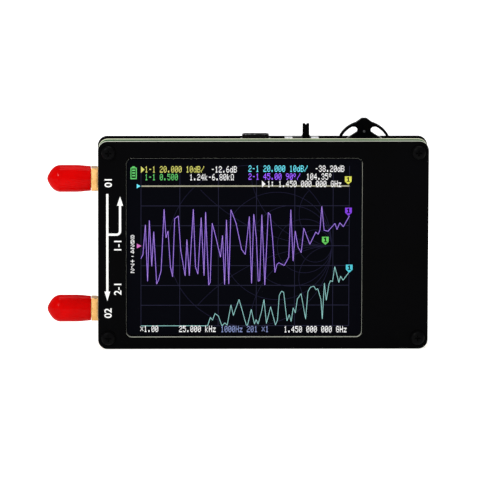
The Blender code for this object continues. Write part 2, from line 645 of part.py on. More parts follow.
def build_switch():
    """The power switch: a steel shell, its base and the slider with its stem."""
    switch_x = RIGHT_X - SWITCH_FROM_RIGHT
    switch_y = PARTS_Y + SWITCH_DEPTH / 2
    top_z = BOARD_HEIGHT + SWITCH_PROUD
    bottom_z = top_z - SWITCH_HEIGHT
    shell = add_object("switch_shell", block(SWITCH_WIDTH, SWITCH_DEPTH, SWITCH_HEIGHT),
                       steel(), (switch_x, switch_y, (top_z + bottom_z) / 2))
    inner_width, inner_depth = SWITCH_WIDTH - 2 * SWITCH_WALL, SWITCH_DEPTH - 2 * SWITCH_WALL
    hollow_top = top_z - SWITCH_WALL
    base_height = SWITCH_HEIGHT - SWITCH_WALL - SLIDER_HEIGHT - 2 * SEAT
    hollow = block(inner_width, inner_depth, hollow_top - bottom_z + OVERRUN)
    cut(shell, hollow, (switch_x, switch_y, (hollow_top + bottom_z - OVERRUN) / 2))
    slot = block(LEVER_WIDTH + SWITCH_TRAVEL + 2 * CLEAR, LEVER_DEPTH + 2 * CLEAR,
                 2 * SWITCH_WALL)
    cut(shell, slot, (switch_x, switch_y, top_z - SWITCH_WALL / 2))
    base = block(inner_width - 2 * SEAT, inner_depth - 2 * SEAT, base_height)
    brown = finish("brown_phenolic", (0.10, 0.05, 0.03), 0.6)
    add_object("switch_base", base, brown,
               (switch_x, switch_y, bottom_z + base_height / 2))
    rest = add_joint_empty("power_slide", (switch_x + SWITCH_TRAVEL / 2, switch_y, top_z))
    slider_z = -SWITCH_WALL - SEAT - SLIDER_HEIGHT / 2
    slider = block(inner_width - SWITCH_TRAVEL - 2 * CLEAR, inner_depth - 2 * SEAT,
                   SLIDER_HEIGHT)
    lever = add_object("switch_lever", slider, black_plastic(), (0, 0, slider_z), parent=rest)
    bpy.context.view_layer.update()
    neck_low = -SWITCH_WALL - SLIDER_HEIGHT / 2
    neck = block(LEVER_WIDTH, LEVER_DEPTH, LEVER_REACH / 2 - neck_low)
    here = Vector(rest.location)
    fuse(lever, neck, here + Vector((0, 0, (LEVER_REACH / 2 + neck_low) / 2)))
    fuse(lever, prism(lever_outline(), LEVER_DEPTH), here)


def jog_hollow_radius():
    """How far the skirt's inner ends are from the pivot: they clear the base's corners."""
    return math.hypot(JOG_BASE_WIDTH / 2, JOG_BASE_TOP + JOG_PRESS_TRAVEL) + CLEAR


def jog_underside():
    """The lever's flat underside above its pivot: it clears the base when pressed and tilted."""
    tilt = math.radians(JOG_TILT_DEGREES)
    base_top = JOG_BASE_TOP + JOG_PRESS_TRAVEL + CLEAR
    return JOG_BASE_WIDTH / 2 * math.sin(tilt) + base_top * math.cos(tilt)


def jog_lever_outline():
    """The rocker's outline about its pivot: hump, rim, web, stem, skirt and underside."""
    hollow, underside = jog_hollow_radius(), jog_underside()
    rim_inside = JOG_RIM_RADIUS - JOG_RIM_THICKNESS
    hump_degrees = math.degrees(math.asin(JOG_HUMP_HALF_FOOT / JOG_RIM_RADIUS))
    web_degrees = math.degrees(math.acos(JOG_WEB_HEIGHT / rim_inside))
    eye_centre = (JOG_STEM_HALF_WIDTH + JOG_EYE_RADIUS, JOG_WEB_HEIGHT - JOG_EYE_RADIUS)
    right = [(JOG_HUMP_HALF_TOP, JOG_RIM_RADIUS + JOG_HUMP_HEIGHT)]
    right += arc(JOG_RIM_RADIUS, hump_degrees, JOG_RIM_DEGREES, JOG_RIM_STEPS)
    right += arc(rim_inside, JOG_RIM_DEGREES, web_degrees, CORNER_STEPS)
    right += arc(JOG_EYE_RADIUS, 0, -JOG_EYE_DEGREES, CORNER_STEPS, eye_centre)
    skirt, skirt_radius = math.radians(JOG_SKIRT_DEGREES), hollow + JOG_SKIRT_THICKNESS
    right.append((skirt_radius * math.sin(skirt), skirt_radius * math.cos(skirt)))
    right.append((math.sqrt(hollow ** 2 - underside ** 2), underside))
    left = [(-x, z) for x, z in reversed(right)]
    return right + left


def build_jog():
    """The thumb rocker: its base, the carrier that is pressed in, the pin and the lever."""
    jog_x = RIGHT_X - JOG_FROM_RIGHT
    jog_y = MAIN_BACK_Y + REAR_GAP / 2
    pivot = Vector((jog_x, jog_y, BOARD_HEIGHT - JOG_PIVOT_DROP))
    base_depth = REAR_GAP - 2 * SEAT
    base_height = JOG_BASE_TOP + JOG_BASE_DROP
    base_z = pivot.z + (JOG_BASE_TOP - JOG_BASE_DROP) / 2
    base = add_object("jog_base", block(JOG_BASE_WIDTH, base_depth, base_height),
                      black_plastic(), (jog_x, jog_y, base_z))
    pocket_low = pivot.z - JOG_BASE_DROP + JOG_BASE_FLOOR
    pocket_high = pivot.z + JOG_BASE_TOP + OVERRUN
    pocket = block(JOG_CARRIER_WIDTH + 2 * CLEAR, JOG_CARRIER_THICKNESS + 2 * CLEAR,
                   pocket_high - pocket_low)
    cut(base, pocket, (jog_x, jog_y, (pocket_low + pocket_high) / 2))

    press = add_joint_empty("jog_press", pivot)
    carrier_height = JOG_CARRIER_TOP + JOG_CARRIER_DROP
    carrier_z = (JOG_CARRIER_TOP - JOG_CARRIER_DROP) / 2
    carrier = add_object("jog_carrier",
                         block(JOG_CARRIER_WIDTH, JOG_CARRIER_THICKNESS, carrier_height),
                         white_plastic(), (0, 0, carrier_z), parent=press)
    slot_low = -JOG_TONGUE_HALF_WIDTH - CLEAR
    slot_high = JOG_CARRIER_TOP + OVERRUN
    slot = block(JOG_CARRIER_WIDTH + OVERRUN, JOG_TONGUE_THICKNESS + 2 * CLEAR,
                 slot_high - slot_low)
    cut(carrier, slot, pivot + Vector((0, 0, (slot_low + slot_high) / 2)))
    bore = JOG_PIN_RADIUS + RUNNING
    cut(carrier, cylinder(bore, -JOG_CARRIER_THICKNESS, JOG_CARRIER_THICKNESS), pivot, ALONG_FRONT)
    pin_half = JOG_CARRIER_THICKNESS / 2
    pin = cylinder(JOG_PIN_RADIUS, -pin_half, pin_half)
    shade_round(add_object("jog_pivot_pin", pin, steel(), turn=ALONG_FRONT, parent=press))

    tilt = add_joint_empty("jog_tilt", (0, 0, 0), press)
    tongue_top = jog_hollow_radius() + JOG_SKIRT_THICKNESS / 2
    tongue = arc(JOG_TONGUE_HALF_WIDTH, 90, 270, SMALL_STEPS // 2)
    tongue += [(-JOG_TONGUE_HALF_WIDTH, tongue_top), (JOG_TONGUE_HALF_WIDTH, tongue_top)]
    lever = add_object("jog_lever", prism(tongue, JOG_TONGUE_THICKNESS), black_plastic(),
                       parent=tilt)
    fuse(lever, prism(jog_lever_outline(), JOG_LEVER_THICKNESS), pivot)
    cut(lever, cylinder(bore, -JOG_LEVER_THICKNESS, JOG_LEVER_THICKNESS), pivot, ALONG_FRONT)
    shade_round(lever)


def lead_points(start, end, turn_share):
    """Points along a lead that leaves the battery level and enters its plug level."""
    run = end.x - start.x
    first = start + Vector((run * turn_share, 0, 0))
    second = end - Vector((run * (1 - turn_share), 0, 0))
    points = []
    for index in range(LEAD_POINTS + 1):
        t = index / LEAD_POINTS
        s = 1 - t
        points.append(start * s ** 3 + first * 3 * s * s * t + second * 3 * s * t * t
                      + end * t ** 3)
    return points


def add_lead(name, start, end, turn_share, material):
    """One insulated wire as a tube along its points."""
    curve = bpy.data.curves.new(name, "CURVE")
    curve.dimensions = "3D"
    curve.bevel_depth = LEAD_RADIUS
    curve.bevel_resolution = 2
    curve.use_fill_caps = True
    curve.render_resolution_u = 0
    points = lead_points(start, end, turn_share)
    spline = curve.splines.new("POLY")
    spline.points.add(len(points) - 1)
    for spot, point in zip(spline.points, points):
        spot.co = (*point, 1.0)
    curve.materials.append(material)
    made = bpy.data.objects.new(name, curve)
    bpy.context.scene.collection.objects.link(made)


def build_battery():
    """The battery pouch on its tape, with two leads, their plug and its socket."""
    left = LEFT_X + BATTERY_LEFT_MARGIN
    middle_x = left + BATTERY_WIDTH / 2
    middle_z = BATTERY_BOTTOM_MARGIN + BATTERY_HEIGHT / 2
    tape_y = PARTS_Y + BATTERY_TAPE_THICKNESS / 2
    tape = block(BATTERY_TAPE_WIDTH, BATTERY_TAPE_THICKNESS, BATTERY_TAPE_HEIGHT)
    add_object("battery_tape", tape, adhesive(), (middle_x, tape_y, middle_z))
    pouch_front_y = PARTS_Y + BATTERY_TAPE_THICKNESS + SEAT
    pouch_back_y = BACK_PANEL_FRONT_Y - BATTERY_SWELL_GAP
    pouch_y = (pouch_front_y + pouch_back_y) / 2
    pouch = block(BATTERY_WIDTH, pouch_back_y - pouch_front_y, BATTERY_HEIGHT)
    bmesh.ops.bevel(pouch, geom=pouch.edges, offset=BATTERY_EDGE, segments=2,
                    profile=0.5, affect="EDGES", material=-1)
    silver = finish("silver_pouch", (0.6, 0.6, 0.62), 0.4, 0.6)
    shade_round(add_object("battery", pouch, silver, (middle_x, pouch_y, middle_z)))

    lead_y = PARTS_Y + SOCKET_DEPTH / 2
    start_x = left + BATTERY_WIDTH + CLEAR
    plug_left = start_x + LEAD_RUN + CLEAR
    start_z = BATTERY_BOTTOM_MARGIN + BATTERY_HEIGHT - LEAD_TAB_DROP
    plug_z = start_z - LEAD_DROP
    colours = {"red": (0.6, 0.02, 0.02), "black": (0.02, 0.02, 0.02)}
    for side, (colour_name, colour) in zip((1, -1), colours.items()):
        offset = side * LEAD_SPREAD / 2
        start = Vector((start_x, lead_y, start_z + offset))
        end = Vector((plug_left - CLEAR, lead_y, plug_z + offset))
        turn_share = (1 + side * LEAD_APART_SHARE) / 2
        add_lead(f"battery_lead_{colour_name}", start, end, turn_share,
                 finish(f"{colour_name}_lead", colour, 0.4))
    add_object("battery_plug", block(PLUG_LENGTH, PLUG_DEPTH, PLUG_HEIGHT), white_plastic(),
               (plug_left + PLUG_LENGTH / 2, lead_y, plug_z))
    socket_left = plug_left + PLUG_LENGTH / 2
    socket = add_object("battery_socket", block(SOCKET_LENGTH, SOCKET_DEPTH, SOCKET_HEIGHT),
                        white_plastic(), (socket_left + SOCKET_LENGTH / 2, lead_y, plug_z))
    pocket_length = PLUG_LENGTH / 2 + CLEAR + OVERRUN
    pocket = block(pocket_length, PLUG_DEPTH + 2 * CLEAR, PLUG_HEIGHT + 2 * CLEAR)
    cut(socket, pocket, (socket_left - OVERRUN + pocket_length / 2, lead_y, plug_z))


def add_chip(name, width, height, thickness, chip_x, chip_z, material):
    """A flat component on the back of the main board."""
    add_object(name, block(width, thickness, height), material,
               (chip_x, PARTS_Y + thickness / 2, chip_z))


def build_components():
    """Shield cans, chips and lights on the back of the main board."""
    can_x = LEFT_X + CAN_LEFT_MARGIN + CAN_SIDE / 2
    for number, can_z in enumerate(JACK_HEIGHTS, start=1):
        can = add_object(f"shield_can_{number}", block(CAN_SIDE, CAN_DEPTH, CAN_SIDE), steel(),
                         (can_x, PARTS_Y + CAN_DEPTH / 2, can_z))
        inside = CAN_SIDE - 2 * CAN_WALL
        hollow = block(inside, CAN_DEPTH, inside)
        cut(can, hollow, (can_x, PARTS_Y + CAN_DEPTH / 2 - CAN_WALL, can_z))
    chip = finish("chip_black", (0.03, 0.03, 0.03), 0.6)
    add_chip("processor", PROCESSOR_SIDE, PROCESSOR_SIDE, CHIP_THICKNESS,
             RIGHT_X - PROCESSOR_FROM_RIGHT, BOARD_HEIGHT - PROCESSOR_FROM_TOP, chip)
    row_z = BOARD_HEIGHT - SYNTHESIZER_FROM_TOP
    add_chip("synthesizer", SYNTHESIZER_SIDE, SYNTHESIZER_SIDE, CHIP_THICKNESS,
             LEFT_X + SYNTHESIZER_FROM_LEFT, row_z, chip)
    add_chip("reference_crystal", CRYSTAL_WIDTH, CRYSTAL_HEIGHT, CHIP_THICKNESS,
             LEFT_X + CRYSTAL_FROM_LEFT, row_z, gold())
    add_chip("charger_chip", CHARGER_SIDE, CHARGER_SIDE, CHIP_THICKNESS,
             RIGHT_X - CHARGER_FROM_RIGHT, BOARD_HEIGHT - CHARGER_FROM_TOP, chip)
    for number, side in ((1, -1), (2, 1)):
        led_x = RIGHT_X - LED_FROM_RIGHT + side * LED_PITCH / 2
        add_chip(f"status_led_{number}", LED_WIDTH, LED_HEIGHT, LED_THICKNESS, led_x,
                 BOARD_HEIGHT - LED_FROM_TOP, white_plastic())


def main():
    """Builds every sub-part of the analyzer."""
    remove_old_objects()
    build_boards()
    build_screws()
    build_spacers()
    build_display()
    build_jacks()
    build_usb()
    build_switch()
    build_jog()
    build_battery()
    build_components()


main()
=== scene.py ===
"""Looks of the pocket antenna analyzer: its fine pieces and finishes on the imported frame.

X runs to the right of someone who looks at the screen, Y away from them and Z up. Shapes
are made in millimetres in the object's own frame, and turned into metres when finished.
"""

from __future__ import annotations

import logging
import math
import random
from dataclasses import dataclass, field, replace
from enum import Enum
from functools import lru_cache
from itertools import product
from typing import Callable, Iterable, Sequence

import bmesh
import bpy
from mathutils import Matrix, Vector


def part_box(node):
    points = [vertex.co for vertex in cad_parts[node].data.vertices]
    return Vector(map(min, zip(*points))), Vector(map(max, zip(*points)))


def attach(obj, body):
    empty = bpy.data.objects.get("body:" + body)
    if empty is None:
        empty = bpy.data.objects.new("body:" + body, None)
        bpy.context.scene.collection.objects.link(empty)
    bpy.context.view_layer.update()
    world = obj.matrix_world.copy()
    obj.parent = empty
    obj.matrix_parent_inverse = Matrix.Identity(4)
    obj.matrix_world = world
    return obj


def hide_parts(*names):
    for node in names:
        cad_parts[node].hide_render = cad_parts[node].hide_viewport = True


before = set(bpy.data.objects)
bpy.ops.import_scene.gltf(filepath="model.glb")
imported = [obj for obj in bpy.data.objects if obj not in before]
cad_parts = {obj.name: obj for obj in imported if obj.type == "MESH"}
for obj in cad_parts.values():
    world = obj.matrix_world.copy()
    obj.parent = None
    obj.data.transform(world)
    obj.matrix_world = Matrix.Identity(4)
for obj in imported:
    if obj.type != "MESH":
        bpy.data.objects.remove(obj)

LOG = logging.getLogger("antenna_analyzer")
MM = 0.001
CASE = "case"

Point = tuple[float, float]
Point3 = tuple[float, float, float]
Points = Sequence[Point]
Bar = tuple[float, float, float, float]
Colour = tuple[float, float, float]
Socket = bpy.types.NodeSocket
Tree = bpy.types.NodeTree

FACING_FRONT = Matrix.Rotation(math.radians(90), 4, "X")
FACING_BACK = Matrix.Rotation(math.radians(-90), 4, "X")
FACING_LEFT = Matrix.Rotation(math.radians(-90), 4, "Y")
READING_UP = FACING_LEFT @ FACING_FRONT

SIDES = (-1, 1)
NUMBERS = (1, 2, 3, 4)
SQUARE_DEGREES = 60.0  # an edge that turns by more is square
PANEL_SIDE = 55.0  # from the middle to the panels' side edges
BOARD_TOP = 70.0
SCREW_INSET: Point = (3.4, 3.8)
WINDOW_CENTRE: Point = (-6.35, 34.15)
WINDOW_SIZE: Point = (78.5, 60.3)
DISPLAY_DOTS: Point = (480, 320)
GLASS_GAP = 0.004  # from the glass to the picture's ground
LAYER_STEP = 0.011
SHEET_THICKNESS = 0.005


def tone(colour: Colour) -> tuple[float, float, float, float]:
    """Turns a colour as a monitor shows it into the light that it stands for.

    Args:
        colour: Red, green and blue from 0 to 255.

    Returns:
        The linear colour with full alpha.
    """
    shares = [value / 255 for value in colour]
    lights = [s / 12.92 if s <= 0.04045 else ((s + 0.055) / 1.055) ** 2.4 for s in shares]
    return (lights[0], lights[1], lights[2], 1.0)


def node_box(node: str) -> tuple[Vector, Vector]:
    """Gives the lowest and the highest corner of a CAD node in millimetres."""
    low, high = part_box(node)
    return low / MM, high / MM


def middle_of(low: Vector, high: Vector) -> Point:
    """Gives the middle of a box as (x, z)."""
    return ((low.x + high.x) / 2, (low.z + high.z) / 2)


def at(spot: Sequence[float], turn: Matrix) -> Matrix:
    """Gives the place of something that is turned first."""
    return Matrix.Translation(spot) @ turn


def only(kind: type, items: Iterable) -> list:
    """Picks out the items of one kind."""
    return [item for item in items if isinstance(item, kind)]


def link(name: str, data: bpy.types.ID) -> bpy.types.Object:
    """Adds an object to the scene.

    Args:
        name: Its name.
        data: Its mesh, curve, camera or light.

    Returns:
        The object.
    """
    made = bpy.data.objects.new(name, data)
    bpy.context.scene.collection.objects.link(made)
    return made


class Pattern(Enum):
    """What a finish shows besides its colour."""

    WEAVE = "glass cloth weave"
    BRUSHED = "brushed streaks"
    LAMINATE = "board laminate"
    TRACKS = "board tracks"
    STRIPES = "film conductors"
    SPECKS = "moulded specks"


class Wiring:
    """Adds nodes to one shader tree and joins them."""

    def __init__(self, tree: Tree) -> None:
        """Keeps the tree that the nodes go into."""
        self.tree = tree

    def add(self, kind: str, inputs: dict | None = None, **options: object) -> bpy.types.Node:
        """Adds one node.

        Args:
            kind: The node's type without its leading "ShaderNode".
            inputs: Sockets or plain values by the input's name or number.
            **options: Settings of the node itself.

        Returns:
            The node.
        """
        node = self.tree.nodes.new(f"ShaderNode{kind}")
        for name, value in options.items():
            setattr(node, name, value)
        for name, value in (inputs or {}).items():
            self.feed(node.inputs[name], value)
        return node

    def feed(self, socket: Socket, value: object) -> None:
        """Links a socket into an input, or sets the input's plain value.

        Args:
            socket: The input.
            value: An output socket, a number, a vector or a colour.
        """
        if isinstance(value, Socket):
            self.tree.links.new(value, socket)
        else:
            socket.default_value = value

    def math(self, operation: str, first: object, second: object = 0.0) -> Socket:
        """Adds a Math node for two values or sockets."""
        return self.add("Math", {0: first, 1: second}, operation=operation).outputs[0]

    def times(self, first: object, second: object) -> Socket:
        """Multiplies two values or sockets."""
        return self.math("MULTIPLY", first, second)

    def wave(self, value: object, pitch: object) -> Socket:
        """Adds a sine of a length, from -1 to 1, with the given pitch."""
        return self.math("SINE", self.times(self.math("DIVIDE", value, pitch), math.tau))

    def remap(self, value: object, old: Point, new: Point = (0.0, 1.0)) -> Socket:
        """Adds a Map Range node from an old range to a new one."""
        return self.add("MapRange", dict(enumerate((value, *old, *new)))).outputs[0]

    def blend(self, share: object, first: object, second: object) -> Socket:
        """Mixes two colours, with the share of the second one."""
        return self.add("Mix", {0: share, 6: first, 7: second}, data_type="RGBA").outputs[2]

    def noise(self, vector: object, size: object, detail: float) -> Socket:
        """Adds a noise with patches of a size in millimetres, at places in millimetres."""
        scale = self.math("DIVIDE", 1.0, size)
        return self.add("TexNoise", {"Vector": vector, "Scale": scale, "Detail": detail}).outputs[0]

    def axes(self, vector: object) -> Sequence[Socket]:
        """Splits a vector into its three numbers."""
        return list(self.add("SeparateXYZ", {0: vector}).outputs)

    def effect(self, tree: Tree, inputs: dict) -> Socket:
        """Places a shared effect with its inputs by name, and gives its only output."""
        return self.add("Group", inputs, node_tree=tree).outputs[0]


def shared(output: str, *numbers: str) -> Callable:
    """Makes a function that wires up an effect into a node group that is built once.

    Args:
        output: The name of the group's output.
        *numbers: The names of its inputs after Vector.

    Returns:
        A decorator for a function of the wiring, the inputs' sockets and any choice.
    """

    def wrap(wire: Callable) -> Callable:
        """Wraps one function.

        Args:
            wire: The function that wires the effect.

        Returns:
            A function that gives the effect's node group.
        """

        @lru_cache(maxsize=None)
        def group(*choice: Pattern) -> Tree:
            """Builds the node group of one choice.

            Args:
                *choice: The pattern, if there are several.

            Returns:
                The node group.
            """
            name = choice[0].name.lower() if choice else wire.__name__
            tree = bpy.data.node_groups.new(name, "ShaderNodeTree")
            tree.interface.new_socket("Vector", in_out="INPUT", socket_type="NodeSocketVector")
            for number in numbers:
                tree.interface.new_socket(number, in_out="INPUT", socket_type="NodeSocketFloat")
            tree.interface.new_socket(output, in_out="OUTPUT", socket_type="NodeSocketFloat")
            sockets = list(tree.nodes.new("NodeGroupInput").outputs)[:1 + len(numbers)]
            target = tree.nodes.new("NodeGroupOutput").inputs[0]
            tree.links.new(wire(Wiring(tree), *sockets, *choice), target)
            return tree

        return group

    return wrap


@shared("Mask", "Size", "Grain")
def mottle(wires: Wiring, vector: Socket, size: Socket, grain: Socket) -> Socket:
    """Makes cloudy patches with a fine grain in them, as handled surfaces have.

    Args:
        wires: The group's wiring.
        vector: Where on the piece it is read.
        size: The patches' size.
        grain: The grain's size.

    Returns:
        The mask.
    """
    clouds, fine = wires.noise(vector, size, 4.0), wires.noise(vector, grain, 2.0)
    mixed = wires.math("ADD", wires.times(clouds, 0.7), wires.times(fine, 0.3))
    return wires.remap(mixed, (0.36, 0.64))


@shared("Height", "Size", "Relief")
def fine_grain(wires: Wiring, vector: Socket, size: Socket, relief: Socket) -> Socket:
    """Makes the fine relief of a moulded, plated or coated surface."""
    return wires.times(wires.noise(vector, size, 3.0), relief)


@shared("Mask", "Edge", "Size")
def worn_edge(wires: Wiring, vector: Socket, edge: Socket, size: Socket) -> Socket:
    """Breaks up a marked edge into rubbed and untouched stretches."""
    return wires.times(wires.remap(wires.noise(vector, size, 5.0), (0.42, 0.62)), edge)


@shared("Mask", "Width", "Height")
def screen_dots(wires: Wiring, vector: Socket, wide: Socket, high: Socket) -> Socket:
    """Makes the grid of dark gaps between a display's dots, with 1 on a dot.

    Args:
        wires: The group's wiring.
        vector: Where on the piece it is read.
        wide: A dot's width.
        high: A dot's height.

    Returns:
        The mask.
    """
    across, _, up = wires.axes(vector)
    columns = wires.remap(wires.wave(across, wide), (-1.0, -0.4), (0.62, 1.0))
    return wires.times(columns, wires.remap(wires.wave(up, high), (-1.0, -0.4), (0.72, 1.0)))


@shared("Mask", "Size")
def pattern_mask(wires: Wiring, vector: Socket, size: Socket, kind: Pattern) -> Socket:
    """Makes one of the named patterns.

    Args:
        wires: The group's wiring.
        vector: Places in millimetres.
        size: The pattern's size.
        kind: The pattern.

    Returns:
        Its mask.
    """
    across, away, up = wires.axes(vector)
    if kind is Pattern.WEAVE:
        return wires.remap(wires.times(wires.wave(across, size), wires.wave(up, size)), (-1.0, 1.0))
    if kind is Pattern.BRUSHED:
        stretched = wires.add("Mapping", {"Vector": vector, "Scale": (0.06, 1.0, 1.0)}).outputs[0]
        return wires.remap(wires.noise(stretched, size, 3.0), (0.35, 0.65))
    if kind is Pattern.LAMINATE:
        layers = wires.remap(wires.wave(away, size), (-0.3, 0.6))
        return wires.times(layers, wires.noise(vector, wires.times(size, 2.0), 3.0))
    if kind is Pattern.TRACKS:
        scale = wires.math("DIVIDE", 0.13, size)
        cells = wires.add("TexVoronoi", {"Vector": vector, "Scale": scale}, distance="CHEBYCHEV")
        choice, bare, _ = wires.axes(cells.outputs["Color"])
        ways = {0: wires.math("GREATER_THAN", choice, 0.5), 2: wires.wave(up, size),
                3: wires.wave(across, size)}
        lines = wires.remap(wires.add("Mix", ways).outputs[0], (0.35, 0.6))
        return wires.times(lines, wires.math("GREATER_THAN", bare, 0.45))
    if kind is Pattern.STRIPES:
        return wires.math("GREATER_THAN", wires.wave(up, size), 0.0)
    specks = wires.add("TexVoronoi", {"Vector": vector, "Scale": wires.math("DIVIDE", 1.0, size)})
    return wires.remap(specks.outputs["Distance"], (0.05, 0.22), (1.0, 0.0))


@dataclass(frozen=True)
class Motif:
    """How a pattern shows on a finish: its size, colour, strength and relief."""

    kind: Pattern
    size: float
    colour: Colour
    share: float = 1.0
    relief: float = 0.0


@dataclass(frozen=True)
class Finish:
    """A surface of the real object, made as one procedural material. Sizes in millimetres."""

    name: str
    colour: Colour
    second: Colour
    roughness: Point = (0.35, 0.5)
    metallic: float = 0.0
    gloss: float = 0.5
    coat: float = 0.0
    coat_roughness: float = 0.12
    patch: float = 6.0
    grain: float = 0.12
    relief: float = 0.003
    worn: Colour | None = None
    worn_patch: float = 0.9
    motif: Motif | None = None

    @lru_cache(maxsize=None)
    def material(self) -> bpy.types.Material:
        """Builds the material.

        Returns:
            The material, made once for each finish.
        """
        material = bpy.data.materials.new(self.name)
        material.use_nodes = True
        wires = Wiring(material.node_tree)
        shader = material.node_tree.nodes["Principled BSDF"]
        for name, value in (("Metallic", self.metallic), ("Specular IOR Level", self.gloss),
                            ("Coat Weight", self.coat), ("Coat Roughness", self.coat_roughness)):
            shader.inputs[name].default_value = value
        place = wires.add("TexCoord").outputs["Object"]
        place = wires.add("Mapping", {"Vector": place, "Scale": (1 / MM,) * 3}).outputs[0]
        clouds = {"Vector": place, "Size": self.patch, "Grain": self.grain * 3}
        patches = wires.effect(mottle(), clouds)
        colour = wires.blend(patches, tone(self.colour), tone(self.second))
        relief = {"Vector": place, "Size": self.grain, "Relief": self.relief}
        height = wires.effect(fine_grain(), relief)
        motif = self.motif
        if motif is not None:
            mask = wires.effect(pattern_mask(motif.kind), {"Vector": place, "Size": motif.size})
            colour = wires.blend(wires.times(mask, motif.share), colour, tone(motif.colour))
            height = wires.math("ADD", height, wires.times(mask, motif.relief))
        if self.worn is not None:
            edge = wires.add("Attribute", attribute_name="wear").outputs["Fac"]
            marks = {"Vector": place, "Edge": edge, "Size": self.worn_patch}
            colour = wires.blend(wires.effect(worn_edge(), marks), colour, tone(self.worn))
        self.light(wires, shader, place, colour)
        wires.feed(shader.inputs["Roughness"], wires.remap(patches, (0.0, 1.0), self.roughness))
        bump = wires.add("Bump", {"Height": height, "Distance": MM, "Strength": 1.0})
        wires.feed(shader.inputs["Normal"], bump.outputs[0])
        return material

    def light(self, wires: Wiring, shader: bpy.types.Node, place: Socket, colour: Socket) -> None:
        """Feeds the colour to the surface."""
        wires.feed(shader.inputs["Base Color"], colour)


@dataclass(frozen=True)
class Glow(Finish):
    """A colour that the display shows by its own light."""

    dot: Point = (0.1635, 0.1884)
    strength: float = 1.3
    unlit: Colour = (3, 3, 4)

    def light(self, wires: Wiring, shader: bpy.types.Node, place: Socket, colour: Socket) -> None:
        """Feeds the colour to the surface's own light, broken up by the display's dots.

        Args:
            wires: The material's wiring.
            shader: Its Principled shader.
            place: Places in millimetres.
            colour: The colour's socket.
        """
        dots = {"Vector": place, "Width": self.dot[0], "Height": self.dot[1]}
        mask = wires.effect(screen_dots(), dots)
        dark = tone((0, 0, 0))
        wires.feed(shader.inputs["Emission Color"], wires.blend(mask, dark, colour))
        shader.inputs["Emission Strength"].default_value = self.strength
        wires.feed(shader.inputs["Base Color"], wires.blend(mask, dark, tone(self.unlit)))


def glow(name: str, colour: Colour, strength: float = 1.3) -> Glow:
    """Makes a display colour with its name, what it shows and how much light it gives."""
    return Glow(f"screen_{name}", colour, tuple(value * 0.88 for value in colour), (0.3, 0.4),
                gloss=0.01, patch=2.0, relief=0.0005, strength=strength)


BLACK_MASK = Finish(
    "black_solder_mask", (2, 2, 2), (3, 3, 4), (0.3, 0.36), gloss=0.013, patch=22.0,
    relief=0.0004, worn=(18, 18, 18), motif=Motif(Pattern.WEAVE, 0.9, (5, 5, 6), 0.4, 0.0012))
GREEN_MASK = Finish(
    "green_solder_mask", (30, 92, 40), (24, 78, 34), (0.3, 0.42), gloss=0.4, patch=9.0,
    relief=0.0015, motif=Motif(Pattern.TRACKS, 0.8, (56, 124, 58), 0.75, 0.02))
PALE_CORE = Finish(
    "pale_board_core", (196, 198, 186), (180, 184, 168), (0.6, 0.8), gloss=0.3, patch=1.2,
    grain=0.05, relief=0.006, motif=Motif(Pattern.LAMINATE, 0.26, (152, 156, 140), 0.5, 0.006))
GREEN_CORE = replace(
    PALE_CORE, name="green_board_core", colour=(224, 228, 200), second=(208, 212, 182),
    motif=Motif(Pattern.LAMINATE, 0.26, (180, 186, 148), 0.6, 0.006))
BLACK_CORE = replace(
    PALE_CORE, name="black_board_core", colour=(16, 16, 15), second=(10, 10, 10), gloss=0.06,
    motif=Motif(Pattern.LAMINATE, 0.26, (26, 25, 23), 0.6, 0.006))
BROWN_BOARD = Finish(
    "brown_phenolic", (92, 54, 32), (74, 42, 24), (0.5, 0.7), gloss=0.3, patch=1.6, relief=0.006,
    motif=Motif(Pattern.LAMINATE, 0.3, (60, 34, 20)))
LEGEND_INK = Finish(
    "white_legend_ink", (238, 238, 235), (222, 222, 220), (0.55, 0.7), gloss=0.2, patch=1.5,
    grain=0.08, relief=0.006)
GOLD_PLATE = Finish(
    "gold_plate", (226, 178, 114), (210, 158, 90), (0.22, 0.36), metallic=1.0, patch=3.0,
    relief=0.002, worn=(250, 224, 170))
BRASS = Finish(
    "turned_brass", (222, 188, 116), (196, 158, 88), (0.24, 0.42), metallic=1.0, patch=2.0,
    relief=0.002, worn=(240, 214, 150),
    motif=Motif(Pattern.BRUSHED, 0.12, (178, 142, 78), 0.45, 0.002))
STEEL = Finish(
    "stamped_steel", (198, 199, 202), (176, 177, 180), (0.22, 0.36), metallic=1.0, patch=3.0,
    relief=0.0015, worn=(228, 228, 230),
    motif=Motif(Pattern.BRUSHED, 0.14, (160, 161, 165), 0.4, 0.0015))
# The charging socket's shell is bright steel; this dark colour is painted shade and painted dark
# reflection standing in for how light falls on it. Its lighter rubbed edges are wear.
STEEL_WITH_PAINTED_SHADE = Finish(
    "steel_with_painted_shade", (31, 30, 30), (22, 21, 22), (0.22, 0.34), metallic=1.0, patch=2.0,
    relief=0.0015, worn=(160, 160, 162))
TIN = Finish(
    "solder_tin", (205, 206, 208), (170, 172, 175), (0.2, 0.34), metallic=1.0, patch=0.9,
    relief=0.006, grain=0.2)
BLACK_ZINC = Finish(
    "black_zinc", (5, 5, 5), (3, 3, 4), (0.3, 0.5), gloss=0.028, patch=1.6, relief=0.002,
    worn=(32, 31, 31))
FOIL = Finish(
    "pouch_foil", (196, 198, 202), (172, 174, 180), (0.3, 0.5), metallic=0.85, patch=7.0,
    grain=1.6, relief=0.05, worn=(220, 222, 224),
    motif=Motif(Pattern.BRUSHED, 0.5, (184, 186, 190), 0.4))
RED_VINYL = Finish(
    "red_vinyl", (190, 0, 0), (174, 0, 0), (0.2, 0.26), gloss=0.002, coat=0.08, patch=5.0,
    grain=0.3, relief=0.003)
WHITE_RESIN = Finish(
    "white_resin", (238, 237, 230), (226, 224, 214), (0.4, 0.55), patch=2.5, relief=0.003,
    worn=(248, 247, 242))
